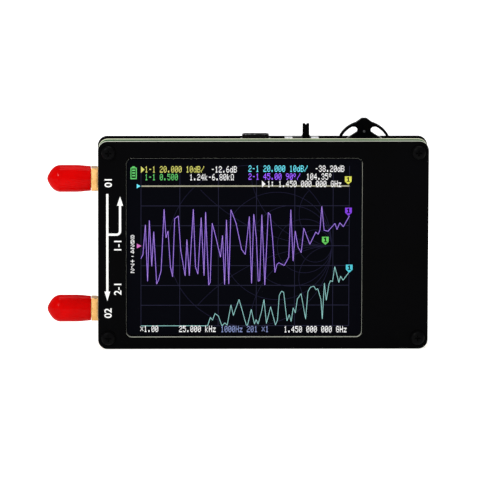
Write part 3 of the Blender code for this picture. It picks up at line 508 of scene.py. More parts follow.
BLACK_RESIN = Finish(
    "black_moulded_resin", (2, 2, 2), (1, 1, 2), (0.36, 0.5), gloss=0.012, patch=2.5,
    relief=0.004, worn=(14, 14, 15), motif=Motif(Pattern.SPECKS, 0.16, (5, 5, 6), 0.5, 0.003))
CHIP_RESIN = Finish(
    "chip_resin", (34, 34, 36), (26, 26, 28), (0.5, 0.7), gloss=0.3, patch=1.5, relief=0.006,
    grain=0.08, motif=Motif(Pattern.SPECKS, 0.12, (46, 46, 48), 0.5))
GREY_MARK = Finish("gate_mark", (66, 66, 67), (50, 50, 51), (0.5, 0.6), gloss=0.2, patch=0.5)
TAN_CERAMIC = Finish("tan_ceramic", (176, 144, 104), (160, 126, 88), patch=0.8)
YELLOW_LENS = Finish("light_lens", (226, 210, 110), (212, 190, 84), (0.2, 0.3), patch=0.5)
DARK_GLASS = Finish(
    "screen_glass", (2, 2, 3), (3, 3, 5), (0.12, 0.18), gloss=0.008, patch=24.0, grain=0.5,
    relief=0.0002)
TAPE = Finish(
    "double_sided_tape", (120, 118, 112), (100, 98, 92), (0.7, 0.9), gloss=0.15, patch=3.0,
    grain=0.25, relief=0.02)
AMBER_FILM = Finish(
    "amber_film", (196, 118, 34), (178, 100, 24), (0.22, 0.34), patch=4.0, relief=0.002,
    motif=Motif(Pattern.STRIPES, 0.9, (150, 78, 18), 0.75, 0.015))
RED_LEAD = Finish("red_lead", (190, 22, 20), (166, 14, 14), patch=2.0)
BLACK_LEAD = Finish("black_lead", (24, 24, 25), (16, 16, 17), patch=2.0)

SCREEN_BLACK = glow("ground", (2, 3, 10), 0.8)
GRID_GREY = glow("grid", (38, 38, 60))
CHART_BLUE = glow("chart", (32, 31, 56))
REFERENCE = glow("reference", (176, 174, 150))
# painted glow halo: a wide dim violet band under the violet trace that paints the glow spreading
# round it
VIOLET_PAINTED_HALO = glow("violet_painted_halo", (60, 24, 160), 1.2)
VIOLET = glow("violet", (200, 160, 236), 1.35)
CYAN_TRACE = glow("cyan_trace", (150, 210, 206))
PINK = glow("pink", (226, 120, 206))
WORD_INKS = {
    "white": glow("white_words", (240, 240, 240), 1.55),
    "yellow": glow("yellow_words", (206, 204, 104), 1.6),
    "green": glow("green_words", (96, 196, 104), 1.5),
    "cyan": glow("cyan_words", (96, 206, 222), 1.9),
    "purple": glow("purple_words", (142, 84, 236), 2.0),
    "slate": glow("slate", (116, 128, 172), 1.8)}
FLAG_INKS = {
    "yellow": glow("yellow", (226, 226, 92)), "purple": glow("purple", (132, 66, 226)),
    "green": glow("green", (104, 206, 96)), "cyan": glow("cyan", (84, 206, 222))}


@dataclass(frozen=True)
class Loop:
    """A closed outline in the XZ plane: a rectangle with round corners."""

    centre: Point
    width: float
    height: float
    corner: float
    segments: int = 8

    @staticmethod
    def around(low: Vector, high: Vector, corner: float, segments: int = 8) -> Loop:
        """Makes the outline of a box, with round corners."""
        return Loop(middle_of(low, high), high.x - low.x, high.z - low.z, corner, segments)

    def edges(self, bm: bmesh.types.BMesh) -> list[bmesh.types.BMEdge]:
        """Draws the outline into a mesh.

        Args:
            bm: The mesh.

        Returns:
            The outline's edges.
        """
        count = len(bm.faces)
        (x, z), half_x, half_z = self.centre, self.width / 2, self.height / 2
        signs = ((-1, -1), (1, -1), (1, 1), (-1, 1))
        corners = [bm.verts.new((x + a * half_x, 0, z + b * half_z)) for a, b in signs]
        bm.faces.new(corners)
        bmesh.ops.bevel(bm, geom=corners, offset=self.corner, offset_type="OFFSET",
                        segments=self.segments, profile=0.5, affect="VERTICES", material=-1)
        bm.faces.ensure_lookup_table()
        face = bm.faces[count]
        edges = list(face.edges)
        bmesh.ops.delete(bm, geom=[face], context="FACES_ONLY")
        return edges


@dataclass(frozen=True)
class Ring:
    """A circle in the XZ plane."""

    centre: Point
    radius: float
    segments: int = 40

    def edges(self, bm: bmesh.types.BMesh) -> list[bmesh.types.BMEdge]:
        """Draws the circle into a mesh.

        Args:
            bm: The mesh.

        Returns:
            The circle's edges.
        """
        place = at((self.centre[0], 0, self.centre[1]), FACING_FRONT)
        made = bmesh.ops.create_circle(bm, cap_ends=False, segments=self.segments,
                                       radius=self.radius, matrix=place)
        return list({edge for vert in made["verts"] for edge in vert.link_edges})


class Shape:
    """A mesh in the making, in millimetres. Its methods give the shape back."""

    def __init__(self) -> None:
        """Starts an empty mesh with the attribute that marks rounded edges."""
        self.bm = bmesh.new()
        self.bm.faces.layers.float.new("wear")

    def block(self, one: Sequence[float], other: Sequence[float]) -> Shape:
        """Adds a box between two opposite corners.

        Args:
            one: A corner.
            other: The opposite corner.

        Returns:
            This shape.
        """
        sizes = [abs(b - a) for a, b in zip(one, other)]
        middle = [(a + b) / 2 for a, b in zip(one, other)]
        bmesh.ops.create_cube(self.bm, size=1.0, matrix=at(middle, Matrix.Diagonal((*sizes, 1.0))))
        return self

    def lathe(self, profile: Points, steps: int = 48, place: Matrix = Matrix(),
              closed: bool = False) -> Shape:
        """Adds a profile of radius and height, spun round local Z.

        Args:
            profile: The points of the profile.
            steps: How many steps go round.
            place: Where the turned piece goes.
            closed: Whether the profile's end joins its start.

        Returns:
            This shape.
        """
        count = len(self.bm.verts)
        verts = [self.bm.verts.new((radius, 0, height)) for radius, height in profile]
        pairs = list(zip(verts, verts[1:])) + ([(verts[-1], verts[0])] if closed else [])
        edges = [self.bm.edges.new(pair) for pair in pairs]
        bmesh.ops.spin(self.bm, geom=verts + edges, cent=(0, 0, 0), axis=(0, 0, 1),
                       angle=math.tau, steps=steps, use_merge=True)
        self.bm.verts.ensure_lookup_table()
        bmesh.ops.remove_doubles(self.bm, verts=self.bm.verts[count:], dist=1e-5)
        self.bm.verts.ensure_lookup_table()
        bmesh.ops.transform(self.bm, matrix=place, verts=self.bm.verts[count:])
        return self

    def plate(self, loops: Sequence[Loop | Ring], low_y: float, high_y: float) -> Shape:
        """Adds a flat plate. The first outline is its edge, the others are holes.

        Args:
            loops: The outlines.
            low_y: Where its front face is.
            high_y: Where its back face is.

        Returns:
            This shape.
        """
        count = len(self.bm.verts)
        edges = [edge for loop in loops for edge in loop.edges(self.bm)]
        made = bmesh.ops.triangle_fill(self.bm, use_beauty=True, use_dissolve=False, edges=edges)
        return self.thicken(only(bmesh.types.BMFace, made["geom"]), count, low_y, high_y)

    def outline(self, points: Points, low_y: float, high_y: float) -> Shape:
        """Adds a plate with an outline of (x, z) points from a front to a back face.

        Args:
            points: The outline.
            low_y: Where its front face is.
            high_y: Where its back face is.

        Returns:
            This shape.
        """
        count = len(self.bm.verts)
        face = self.bm.faces.new([self.bm.verts.new((x, 0, z)) for x, z in points])
        return self.thicken([face], count, low_y, high_y)

    def thicken(self, faces: list, count: int, low_y: float, high_y: float) -> Shape:
        """Pulls flat faces out along Y.

        Args:
            faces: The flat faces.
            count: How many points the mesh had before them.
            low_y: Where the front face goes.
            high_y: Where the back face goes.

        Returns:
            This shape.
        """
        self.bm.verts.ensure_lookup_table()
        bmesh.ops.translate(self.bm, vec=(0, low_y, 0), verts=self.bm.verts[count:])
        pulled = bmesh.ops.extrude_face_region(self.bm, geom=faces)["geom"]
        verts = only(bmesh.types.BMVert, pulled)
        bmesh.ops.translate(self.bm, vec=(0, high_y - low_y, 0), verts=verts)
        return self

    def ribbon(self, points: Points, width: float, low_y: float, high_y: float) -> Shape:
        """Adds a flat line along (x, z) points, mitred at gentle turns and broken at sharp ones.

        Args:
            points: The line's points.
            width: Its width.
            low_y: Where its front face is.
            high_y: Where its back face is.

        Returns:
            This shape.
        """
        run = [Vector(points[0])]
        for spot in map(Vector, points[1:]):
            if len(run) > 1 and (run[-1] - run[-2]).angle(spot - run[-1]) > math.radians(75):
                self.strip(run, width, low_y, high_y)
                run = [run[-1]]
            run.append(spot)
        return self.strip(run, width, low_y, high_y)

    def strip(self, spots: Sequence[Vector], width: float, low_y: float, high_y: float) -> Shape:
        """Adds one unbroken stretch of a ribbon.

        Args:
            spots: The stretch's points.
            width: Its width.
            low_y: Where its front face is.
            high_y: Where its back face is.

        Returns:
            This shape.
        """
        count = len(self.bm.verts)
        ways = [(b - a).normalized() for a, b in zip(spots, spots[1:])]
        sides = []
        for before, after in zip([ways[0]] + ways, ways + [ways[-1]]):
            mean = (before + after).normalized()
            side = Vector((-mean.y, mean.x))
            sides.append(side * (width / 2 / side.dot(Vector((-before.y, before.x)))))
        ends = [[Vector((spot.x + s * side.x, 0, spot.y + s * side.y)) for s in (1, -1)]
                for spot, side in zip(spots, sides)]
        edge, faces = self.bm.edges.new([self.bm.verts.new(end) for end in ends[0]]), []
        for old, new in zip(ends, ends[1:]):
            made = bmesh.ops.extrude_edge_only(self.bm, edges=[edge])["geom"]
            faces += only(bmesh.types.BMFace, made)
            edge = next(item for item in only(bmesh.types.BMEdge, made)
                        if all(vert in made for vert in item.verts))
            pair = sorted(edge.verts, key=lambda vert: (vert.co - old[0]).length)
            for vert, end in zip(pair, new):
                vert.co = end
        return self.thicken(faces, count, low_y, high_y)

    def rounded(self, width: float, segments: int = 2, degrees: float = SQUARE_DEGREES,
                test: Callable = lambda edge: True) -> Shape:
        """Rounds the sharp edges and marks them for wear.

        Args:
            width: How far the rounding reaches.
            segments: How many steps it has.
            degrees: The least turn of an edge that is rounded.
            test: Says which of these edges are rounded.

        Returns:
            This shape.
        """
        least = math.radians(degrees)
        edges = [edge for edge in self.bm.edges if len(edge.link_faces) == 2
                 and edge.calc_face_angle(0) > least and test(edge)]
        made = bmesh.ops.bevel(self.bm, geom=edges, offset=width, offset_type="OFFSET",
                               segments=segments, profile=0.5, affect="EDGES", material=-1,
                               clamp_overlap=True)
        wear = self.bm.faces.layers.float["wear"]
        for face in made["faces"]:
            face[wear] = 1.0
        return self

    def paint(self, index: int, test: Callable = lambda face: True) -> Shape:
        """Gives some faces another finish.

        Args:
            index: The finish's number in the piece.
            test: Says which faces take it.

        Returns:
            This shape.
        """
        self.bm.normal_update()
        for face in filter(test, self.bm.faces):
            face.material_index = index
        return self

    def moved(self, place: Matrix) -> Shape:
        """Moves or turns the whole shape."""
        bmesh.ops.transform(self.bm, matrix=place, verts=self.bm.verts)
        return self

    def copied(self, place: Matrix) -> Shape:
        """Makes a second shape of the same form somewhere else.

        Args:
            place: Where the copy goes.

        Returns:
            The copy.
        """
        other = Shape()
        other.bm.free()
        other.bm = self.bm.copy()
        return other.moved(place)

    def taken(self, mesh: bpy.types.Mesh) -> Shape:
        """Takes in a mesh's faces and uses the mesh up.

        Args:
            mesh: The mesh.

        Returns:
            This shape.
        """
        self.bm.from_mesh(mesh)
        bpy.data.meshes.remove(mesh)
        return self

    def joined(self, *others: Shape) -> Shape:
        """Takes in the faces of other shapes, which are used up.

        Args:
            *others: The other shapes.

        Returns:
            This shape.
        """
        for other in others:
            self.taken(other.mesh("joined"))
        return self

    def mesh(self, name: str) -> bpy.types.Mesh:
        """Turns the shape into a mesh, and uses the shape up.

        Args:
            name: The mesh's name.

        Returns:
            The mesh.
        """
        mesh = bpy.data.meshes.new(name)
        self.bm.to_mesh(mesh)
        self.bm.free()
        return mesh

    def carved(self, tool: Shape) -> Shape:
        """Cuts another shape out of this one.

        Args:
            tool: The shape to cut out, which is used up.

        Returns:
            This shape.
        """
        for shape in (self, tool):
            bmesh.ops.recalc_face_normals(shape.bm, faces=shape.bm.faces)
        solid, cutter = (link("carving", shape.mesh("carving")) for shape in (self, tool))
        step = solid.modifiers.new("carve", "BOOLEAN")
        step.operation, step.solver, step.object = "DIFFERENCE", "EXACT", cutter
        result = evaluated(solid)
        self.bm = bmesh.new()
        self.taken(result)
        if self.bm.faces.layers.float.get("wear") is None:
            self.bm.faces.layers.float.new("wear")
        for old in (solid, cutter):
            bpy.data.meshes.remove(old.data)
        return self

    def piece(self, name: str, finishes: Sequence[Finish], node: str | None = None,
              body: str = CASE, slot: str = "", sharp: float = 35.0) -> bpy.types.Object:
        """Turns the shape into a finished piece of the object.

        Args:
            name: The piece's name.
            finishes: Its finishes, in the order of their numbers.
            node: The CAD node that it stands for, if any.
            body: The CAD body that it moves with.
            slot: The record's material slot, for a piece that stands for no node; not used.
            sharp: Edges that turn by more degrees than this stay sharp.

        Returns:
            The piece.
        """
        bmesh.ops.remove_doubles(self.bm, verts=self.bm.verts, dist=1e-6)
        bmesh.ops.recalc_face_normals(self.bm, faces=self.bm.faces)
        bmesh.ops.scale(self.bm, vec=(MM, MM, MM), verts=self.bm.verts)
        mesh = self.mesh(name)
        for finish in finishes:
            mesh.materials.append(finish.material())
        mesh.shade_smooth()
        mesh.set_sharp_from_angle(angle=math.radians(sharp))
        made = link(name, mesh)
        made.modifiers.new("even_shading", "WEIGHTED_NORMAL").keep_sharp = True
        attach(made, body)
        if node:
            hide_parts(node)
        LOG.info("%s: %d faces, for %s", name, len(mesh.polygons), node or "no node")
        return made


def evaluated(thing: bpy.types.Object) -> bpy.types.Mesh:
    """Gives a new mesh of an object as its modifiers or its curve make it."""
    shown = thing.evaluated_get(bpy.context.evaluated_depsgraph_get())
    return bpy.data.meshes.new_from_object(shown)


def drawn(curve: bpy.types.Curve) -> Shape:
    """Makes a shape of a curve's surface.

    Args:
        curve: The curve, which is used up.

    Returns:
        The shape.
    """
    shape = Shape().taken(evaluated(link("curve", curve)))
    bpy.data.curves.remove(curve)
    return shape


def dress(node: str, finish: Finish) -> None:
    """Gives a CAD node that stays a procedural finish.

    Args:
        node: The CAD node's name.
        finish: Its finish.
    """
    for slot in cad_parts[node].material_slots:
        slot.material = finish.material()
    LOG.info("%s keeps its solid in %s", node, finish.name)


def is_flat(face: bmesh.types.BMFace) -> bool:
    """Says whether a face looks along Y, as a board's copper sides do."""
    return abs(face.normal.y) > 0.9


def is_upright(edge: bmesh.types.BMEdge) -> bool:
    """Says whether an edge runs up and down by more than a millimetre."""
    return abs(edge.verts[0].co.z - edge.verts[1].co.z) > 1


@dataclass
class BoardStack:
    """The two black panels and the green main board."""

    corner: float = 3.2
    corner_steps: int = 14
    hole_radius: float = 1.5
    hole_lining: float = 0.2
    cut_rounding: float = 0.09
    window_corner: float = 1.9
    pad_thickness: float = 0.035
    pad_ends: Point = (-54.5, -49.6)
    pad_half_widths: Points = ((-3.25, 0.95), (0.0, 0.5), (3.25, 0.95))
    pad_ring: Point = (2.9, 1.62)

    def holes(self, low: Vector, high: Vector) -> list[Ring]:
        """Places a board's four screw holes.

        Args:
            low: The board's lowest corner.
            high: The board's highest corner.

        Returns:
            The holes' outlines.
        """
        spots = product((SCREW_INSET[0] - PANEL_SIDE, PANEL_SIDE - SCREW_INSET[0]),
                        (low.z + SCREW_INSET[1], high.z - SCREW_INSET[1]))
        return [Ring(spot, self.hole_radius) for spot in spots]

    def board(self, node: str, mask: Finish, core: Finish, *windows: Loop) -> None:
        """Builds one board with cut edges, plated holes and a coat of solder mask.

        Args:
            node: The CAD node that it stands for.
            mask: The finish of its two faces.
            core: The finish of its cut edges.
            *windows: The openings in it.
        """
        low, high = node_box(node)
        holes = self.holes(low, high)
        edge = Loop.around(low, high, self.corner, self.corner_steps)
        shape = Shape().plate([edge, *holes, *windows], low.y, high.y).rounded(self.cut_rounding)

        def in_hole(face: bmesh.types.BMFace) -> bool:
            """Says whether a face lines a screw hole.

            Args:
                face: The face.

            Returns:
                Whether it lines one.
            """
            spot = face.calc_center_median()
            near = min(math.dist((spot.x, spot.z), hole.centre) for hole in holes)
            return not is_flat(face) and near < self.hole_radius + self.hole_lining

        shape.paint(1, lambda face: not is_flat(face)).paint(2, in_hole)
        shape.piece(f"{node}_cut", [mask, core, TIN], node)

    def build(self) -> None:
        """Builds the boards and the bare pads on them."""
        window = Loop(WINDOW_CENTRE, *WINDOW_SIZE, self.window_corner)
        self.board("front_panel", BLACK_MASK, PALE_CORE, window)
        self.board("back_panel", BLACK_MASK, BLACK_CORE)
        self.board("main_board", GREEN_MASK, GREEN_CORE)
        self.pads()

    def pads(self) -> None:
        """Builds the gold pads under the jacks' legs and round the screws."""
        low, high = node_box("main_board")
        faces = ((high.y, high.y + self.pad_thickness), (low.y - self.pad_thickness, low.y))
        (left, right), (outer, inner) = self.pad_ends, self.pad_ring
        pads = Shape()
        for jack in (1, 2):
            _, centre = middle_of(*node_box(f"antenna_jack_{jack}"))
            for (side, half), (front, back) in product(self.pad_half_widths, faces):
                z = centre + side
                pads.block((left, front, z - half), (right, back, z + half))
        for hole, (front, back) in product(self.holes(low, high), faces):
            pads.plate([Ring(hole.centre, outer), Ring(hole.centre, inner)], front, back)
        pads.piece("main_board_pads", [GOLD_PLATE], slot="gold")


@dataclass
class Fasteners:
    """Pan head screws, round spacers and hexagonal standoffs."""

    head_radius: float = 2.35
    head_height: float = 1.6
    head_flank_share: float = 0.3
    head_fullness: float = 0.55
    shank_radius: float = 1.25
    tip_radius: float = 0.85
    lead_in: float = 0.35
    plain_neck: float = 0.6
    recess_reach: float = 1.3
    recess_width: float = 0.62
    recess_depth: float = 0.9
    recess_floor_share: float = 0.62
    thread_pitch: float = 0.45
    thread_depth: float = 0.16
    bore: float = 1.5
    bore_chamfer: float = 0.15
    end_chamfer: float = 0.18
    neck_relief: float = 0.05
    head_rim: float = 0.08
    bore_thread: Point = (0.1, 0.02)
    bore_thread_turn: Point = (0.12, 0.35)
    standoff_rounding: float = 0.16

    def screw(self, length: float) -> Shape:
        """Builds a screw with its head's underside at height zero.

        Args:
            length: The length of its shank.

        Returns:
            The screw along local Z.
        """
        root, neck = self.shank_radius - self.thread_depth, self.shank_radius - self.neck_relief
        profile: list[Point] = [(0.0, -length), (self.tip_radius, -length)]
        height = self.lead_in - length
        while height < -self.plain_neck:
            profile += [(self.shank_radius, height), (root, height + self.thread_pitch / 2)]
            height += self.thread_pitch
        side, rise, flank = self.head_radius, self.head_height, self.head_flank_share
        profile += [(neck, -self.plain_neck / 2), (neck, 0.0), (side - self.head_rim, 0.0),
                    (side, self.head_rim), (side, rise * flank)]
        crown = [math.radians(step * 7.5) for step in range(1, 12)]
        profile += [(side * math.cos(angle) ** self.head_fullness,
                     rise * (flank + (1 - flank) * math.sin(angle))) for angle in crown]
        made = Shape().lathe([*profile, (0.0, rise)])
        half, reach, floor = self.recess_width / 2, self.recess_reach, self.recess_floor_share
        for wide, long in ((half, reach), (reach, half)):
            blade = Shape().block((-wide, -long, rise - self.recess_depth),
                                  (wide, long, rise + 1.0))
            low = [vert for vert in blade.bm.verts if vert.co.z < rise]
            bmesh.ops.scale(blade.bm, vec=(floor, floor, 1.0), verts=low)
            made.carved(blade)
        return made

    def build(self) -> None:
        """Builds all the screws, spacers and standoffs where the CAD has them."""
        for side, turn in (("front", FACING_FRONT), ("rear", FACING_BACK)):
            low, high = node_box(f"{side}_screw_1")
            screw = self.screw(high.y - low.y - self.head_height)
            for number in NUMBERS:
                node = f"{side}_screw_{number}"
                low, high = node_box(node)
                x, z = middle_of(low, high)
                y = low.y + self.head_height if side == "front" else high.y - self.head_height
                screw.copied(at((x, y, z), turn)).piece(f"{node}_turned", [BLACK_ZINC], node)
        for number in NUMBERS:
            self.spacer(f"front_spacer_{number}")
            self.standoff(f"rear_standoff_{number}")

    def spacer(self, node: str) -> None:
        """Builds a round spacer with chamfered ends.

        Args:
            node: The CAD node that it stands for.
        """
        low, high = node_box(node)
        half, radius, edge = (high.y - low.y) / 2, (high.x - low.x) / 2, self.end_chamfer
        mouth = self.bore + self.bore_chamfer
        ring = [(mouth, -half), (radius - edge, -half), (radius, -half + edge),
                (radius, half - edge), (radius - edge, half), (mouth, half),
                (self.bore, half - self.bore_chamfer), (self.bore, -half + self.bore_chamfer)]
        spacer = Shape().lathe(ring, place=at((low + high) / 2, FACING_FRONT), closed=True)
        spacer.piece(f"{node}_turned", [BRASS], node)

    def standoff(self, node: str) -> None:
        """Builds a hexagonal standoff with its threaded bore.

        Args:
            node: The CAD node that it stands for.
        """
        low, high = node_box(node)
        middle, reach = (low + high) / 2, (high.z - low.z) / 2
        corners = [math.radians(60 * step) for step in range(6)]
        points = [(middle.x + reach * math.sin(a), middle.z + reach * math.cos(a)) for a in corners]
        shape = Shape().outline(points, low.y, high.y)
        shape.rounded(self.standoff_rounding, degrees=50.0)
        (outward, inward), (rise, fall) = self.bore_thread, self.bore_thread_turn
        root, crest, edge = self.bore + outward, self.bore - inward, high.y - middle.y
        thread, height = [(0.0, -edge - 1), (root, -edge - 1), (root, -edge)], -edge
        while height < edge:
            thread += [(crest, height + rise), (root, height + fall)]
            height += self.thread_pitch
        thread += [(root, edge + 1), (0.0, edge + 1)]
        shape.carved(Shape().lathe(thread, 32, at(middle, FACING_FRONT)))
        shape.piece(f"{node}_turned", [BRASS], node)


class Layer(Enum):
    """How many steps in front of the glass a part of the picture lies."""

    GROUND = 0
    GRID = 1
    # the painted glow halo round the violet trace and the chart's lines lie on this step
    PAINTED_HALO_AND_CHART = 2
    TRACE = 3
    WORDS = 4
    FLAG = 5
    FIGURE = 6


DOT_FIGURES: dict[str, tuple[int, ...]] = {
    "0": (14, 17, 19, 21, 25, 17, 14), "1": (4, 12, 4, 4, 4, 4, 14),
    "2": (14, 17, 1, 6, 8, 16, 31), "3": (14, 17, 1, 6, 1, 17, 14),
    "4": (2, 6, 10, 18, 31, 2, 2), "5": (31, 16, 30, 1, 1, 17, 14),
    "6": (6, 8, 16, 30, 17, 17, 14), "7": (31, 1, 2, 4, 8, 8, 8),
    "8": (14, 17, 17, 14, 17, 17, 14), "9": (14, 17, 17, 15, 1, 2, 12),
    ".": (0, 0, 0, 0, 0, 12, 12), "-": (0, 0, 0, 14, 0, 0, 0),
    "+": (0, 4, 4, 31, 4, 4, 0), ":": (0, 12, 12, 0, 12, 12, 0),
    "/": (1, 1, 2, 4, 8, 16, 16), "^": (12, 18, 18, 12, 0, 0, 0),
    "d": (1, 1, 13, 19, 17, 19, 13), "B": (30, 17, 17, 30, 17, 17, 30),
    "k": (16, 16, 18, 20, 24, 20, 18), "H": (17, 17, 17, 31, 17, 17, 17),
    "z": (0, 0, 31, 2, 4, 8, 31), "G": (14, 17, 16, 23, 17, 17, 14),
    "O": (14, 17, 17, 17, 17, 10, 27), "x": (0, 17, 10, 4, 10, 17, 0), " ": (0,) * 7,
}


class Sheet:
    """All that the display shows in one colour on one layer. Its methods give it back."""

    def __init__(self, finish: Finish, layer: Layer, glass_y: float) -> None:
        """Starts an empty sheet in a colour, on a layer in front of the glass.

        Args:
            finish: The colour.
            layer: The layer.
            glass_y: Where the glass's face is.
        """
        self.finish, self.shape = finish, Shape()
        self.high_y = glass_y - GLASS_GAP - LAYER_STEP * layer.value
        self.low_y = self.high_y - SHEET_THICKNESS

    @staticmethod
    def spot(u: float, v: float) -> Point:
        """Turns a dot of the display into (x, z) millimetres."""
        return (WINDOW_CENTRE[0] + (u / DISPLAY_DOTS[0] - 0.5) * WINDOW_SIZE[0],
                WINDOW_CENTRE[1] + (0.5 - v / DISPLAY_DOTS[1]) * WINDOW_SIZE[1])

    def bar(self, u: float, v: float, width: float, height: float) -> Sheet:
        """Fills a rectangle of dots from its upper left one.

        Args:
            u: The upper left dot's column.
            v: The upper left dot's row.
            width: How many dots wide it is.
            height: How many dots high it is.

        Returns:
            This sheet.
        """
        (left, top), (right, bottom) = self.spot(u, v), self.spot(u + width, v + height)
        self.shape.block((left, self.low_y, bottom), (right, self.high_y, top))
        return self

    def line(self, dots: Points, width: float) -> Sheet:
        """Draws a line through dots, with its width in millimetres."""
        self.shape.ribbon([self.spot(*dot) for dot in dots], width, self.low_y, self.high_y)
        return self

    def patch(self, *dots: Point) -> Sheet:
        """Fills an outline of dots."""
        self.shape.outline([self.spot(*dot) for dot in dots], self.low_y, self.high_y)
        return self

    def figures(self, words: str, u: float, v: float, dot: Point = (1.22, 1.62),
                step: Point = (7.6, 0.0)) -> Sheet:
        """Writes figures and units in the display's own dots.

        Args:
            words: The figures.
            u: The left edge of the first.
            v: Their upper edge.
            dot: The size of one stroke's dot.
            step: From one figure to the next.

        Returns:
            This sheet.
        """
        for number, sign in enumerate(words):
            left, top = u + number * step[0], v + number * step[1]
            for row, bits in enumerate(DOT_FIGURES[sign]):
                column = 0
                for run in f"{bits:05b}".replace("01", "0 1").replace("10", "1 0").split():
                    if run[0] == "1":
                        self.bar(left + column * dot[0], top + row * dot[1],
                                 len(run) * dot[0], dot[1])
                    column += len(run)
        return self


@dataclass
class Display:
    """The touch glass, the display module behind it, and the picture that it shows."""

    violet_turns: Points = (
        (30, 180), (34, 173), (39, 120), (43.5, 221), (47, 112), (52, 194), (56, 132),
        (62, 226), (66, 218), (71, 202), (77, 92), (81, 143), (85, 131), (90, 195),
        (94.5, 213), (98.5, 109), (106, 104), (111, 166), (120, 211), (123.5, 146),
        (128.5, 211), (136.5, 92), (141, 195), (146, 208), (152.5, 107), (158.5, 211),
        (161.5, 97), (168, 228), (171, 223), (175, 117), (183, 144), (192, 178),
        (196, 139), (200.5, 227), (204, 111), (209, 226), (213, 93), (223.5, 117),
        (235, 164), (242.5, 173), (250.5, 105), (255.5, 225), (259.5, 101), (265, 144),
        (269, 221), (272, 220), (276, 102), (282.5, 228), (289, 98), (293, 102),
        (298, 144), (303, 205.5), (307, 191), (311, 188), (322, 193), (331, 178),
        (335, 93), (340, 185), (344, 131), (350, 160), (356.5, 170), (361.5, 126),
        (374, 155), (386, 133), (391, 137), (394.5, 129), (398, 87), (403, 130),
        (411, 131.5), (425, 117.5), (429, 128.5), (435, 116.5), (442, 123.5), (454.5, 104))
    cyan_turns: Points = (
        (30, 301), (166, 301), (171.5, 286), (176, 291), (181, 279), (188, 283.5),
        (195, 301), (201.5, 296), (206, 300), (213.5, 263.5), (218.5, 282.5), (230, 253.5),
        (245, 300), (247.5, 300), (255, 271.5), (261.5, 298), (265, 290), (269, 298),
        (275.5, 277), (281, 254), (286, 297), (294.5, 267), (304.5, 300), (308.5, 291),
        (312, 246.5), (316.5, 239), (321, 241), (328, 292.5), (332.5, 281), (336.5, 293.5),
        (340.5, 269), (345, 278), (349, 253), (356.5, 243.5), (366, 289), (370.5, 240),
        (375.5, 232), (382.5, 230), (387, 236.5), (390.5, 234.5), (397, 253.5), (400, 289),
        (404, 224.5), (408, 255.5), (413.5, 226.5), (416.5, 220), (420.5, 222),
        (425, 195), (433.5, 223.5), (437, 212), (442, 219.5), (454.5, 204.5))
    columns: tuple[float, ...] = (30, 109, 187.5, 265, 343, 421, 454)
    rows: tuple[float, ...] = (50.5, 86, 121.5, 157.5, 193, 228.5, 264, 301)
    words: tuple[tuple[str, str, float, float], ...] = (
        ("yellow", "1-1 20.000 10dB/", 38.0, 15.0), ("white", "-12.6dB", 173.0, 15.2),
        ("green", "1-1 0.500", 38.0, 28.8), ("white", "1.24k-6.80kO", 129.0, 29.0),
        ("cyan", "2-1 20.000 10dB/", 248.5, 13.9), ("white", "-38.20dB", 384.0, 14.1),
        ("purple", "2-1 45.00 90^/", 248.7, 28.0), ("white", "104.35^", 366.5, 28.2),
        ("white", "1: 1.450 000 000 GHz", 287.0, 41.2), ("white", "x1.00", 28.7, 300.6),
        ("white", "25.000 kHz", 108.0, 300.9), ("slate", "1000Hz 201 x1", 193.0, 301.3),
        ("white", "1.450 000 000 GHz", 322.0, 301.8))
    side_figures: tuple[str, float, float, Point, Point] = (
        "8024-+72", 9.0, 138.0, (1.5, 1.1), (0.0, 8.6))
    arrowheads: tuple[tuple[str, Point, Point, Point], ...] = (
        ("yellow", (30, 15), (37.2, 21), (30, 27)), ("white", (276, 41), (283.2, 47), (276, 53)),
        ("cyan", (21.5, 46.6), (29, 50.6), (21.5, 54.6)),
        ("pink", (21.7, 153.5), (31, 157.6), (21.7, 161.7)))
    battery_bars: tuple[Bar, ...] = (
        (8.6, 18.0, 2.0, 20.0), (19.4, 18.0, 2.0, 20.0), (8.6, 36.0, 12.8, 2.2),
        (9.6, 17.0, 10.8, 2.0), (12.6, 15.2, 4.8, 2.0), (12.0, 21.0, 6.0, 2.6),
        (12.0, 25.8, 6.0, 2.6), (12.0, 30.6, 6.0, 2.6))
    flag_tips: tuple[tuple[str, float, float], ...] = (
        ("yellow", 451.5, 48.0), ("purple", 452.3, 104.0), ("green", 405.5, 156.0),
        ("cyan", 454.5, 206.0))
    flag_outline: Points = (
        (-6.8, -14.5), (6.8, -14.5), (6.8, -5.5), (0.0, 0.0), (-6.8, -5.5))
    flag_strokes: tuple[Bar, ...] = (
        (-1.0, -13.2, 2.6, 8.4), (-3.0, -12.4, 2.0, 1.9), (-3.0, -6.2, 6.6, 1.4))
    ground: Bar = (1.5, 3.0, 477.0, 314.0)
    grid: Bar = (30.0, 15.0, 424.0, 286.0)
    grid_line: float = 1.1
    reference: Bar = (31.0, 49.6, 423.0, 2.2)
    chart_radius: float = 27.2
    chart_centre: Point = (252.0, 158.0)
    chart_line: float = 0.13
    chart_steps: int = 144
    circle_shares: tuple[float, ...] = (1.0, 0.667, 0.5, 0.333, 0.2)
    arc_shares: tuple[float, ...] = (0.4, 1.0, 2.2)
    # width of the painted glow halo round the violet trace
    painted_halo_line: float = 0.38
    violet_line: float = 0.12
    cyan_line: float = 0.2
    film_contacts: int = 18
    film_contact_half: float = 0.28
    film_contact_ends: Point = (2.4, 0.2)
    film_contact_faces: Point = (0.05, 0.02)
    film_margin: float = 1.45
    lugs: int = 6
    lug_start: float = 6.0
    lug_pitch: float = 10.2
    lug_length: float = 3.0
    lug_sides: Point = (0.05, 0.16)
    lug_faces: Point = (0.9, 0.3)
    light_frame_depth: float = 0.6
    sheets: dict[str, Sheet] = field(default_factory=dict)

    def sheet(self, name: str, finish: Finish, layer: Layer) -> Sheet:
        """Starts a sheet in front of the glass, or gives the one of that name."""
        low, _ = node_box("screen_glass")
        return self.sheets.setdefault(f"screen_{name}", Sheet(finish, layer, low.y))

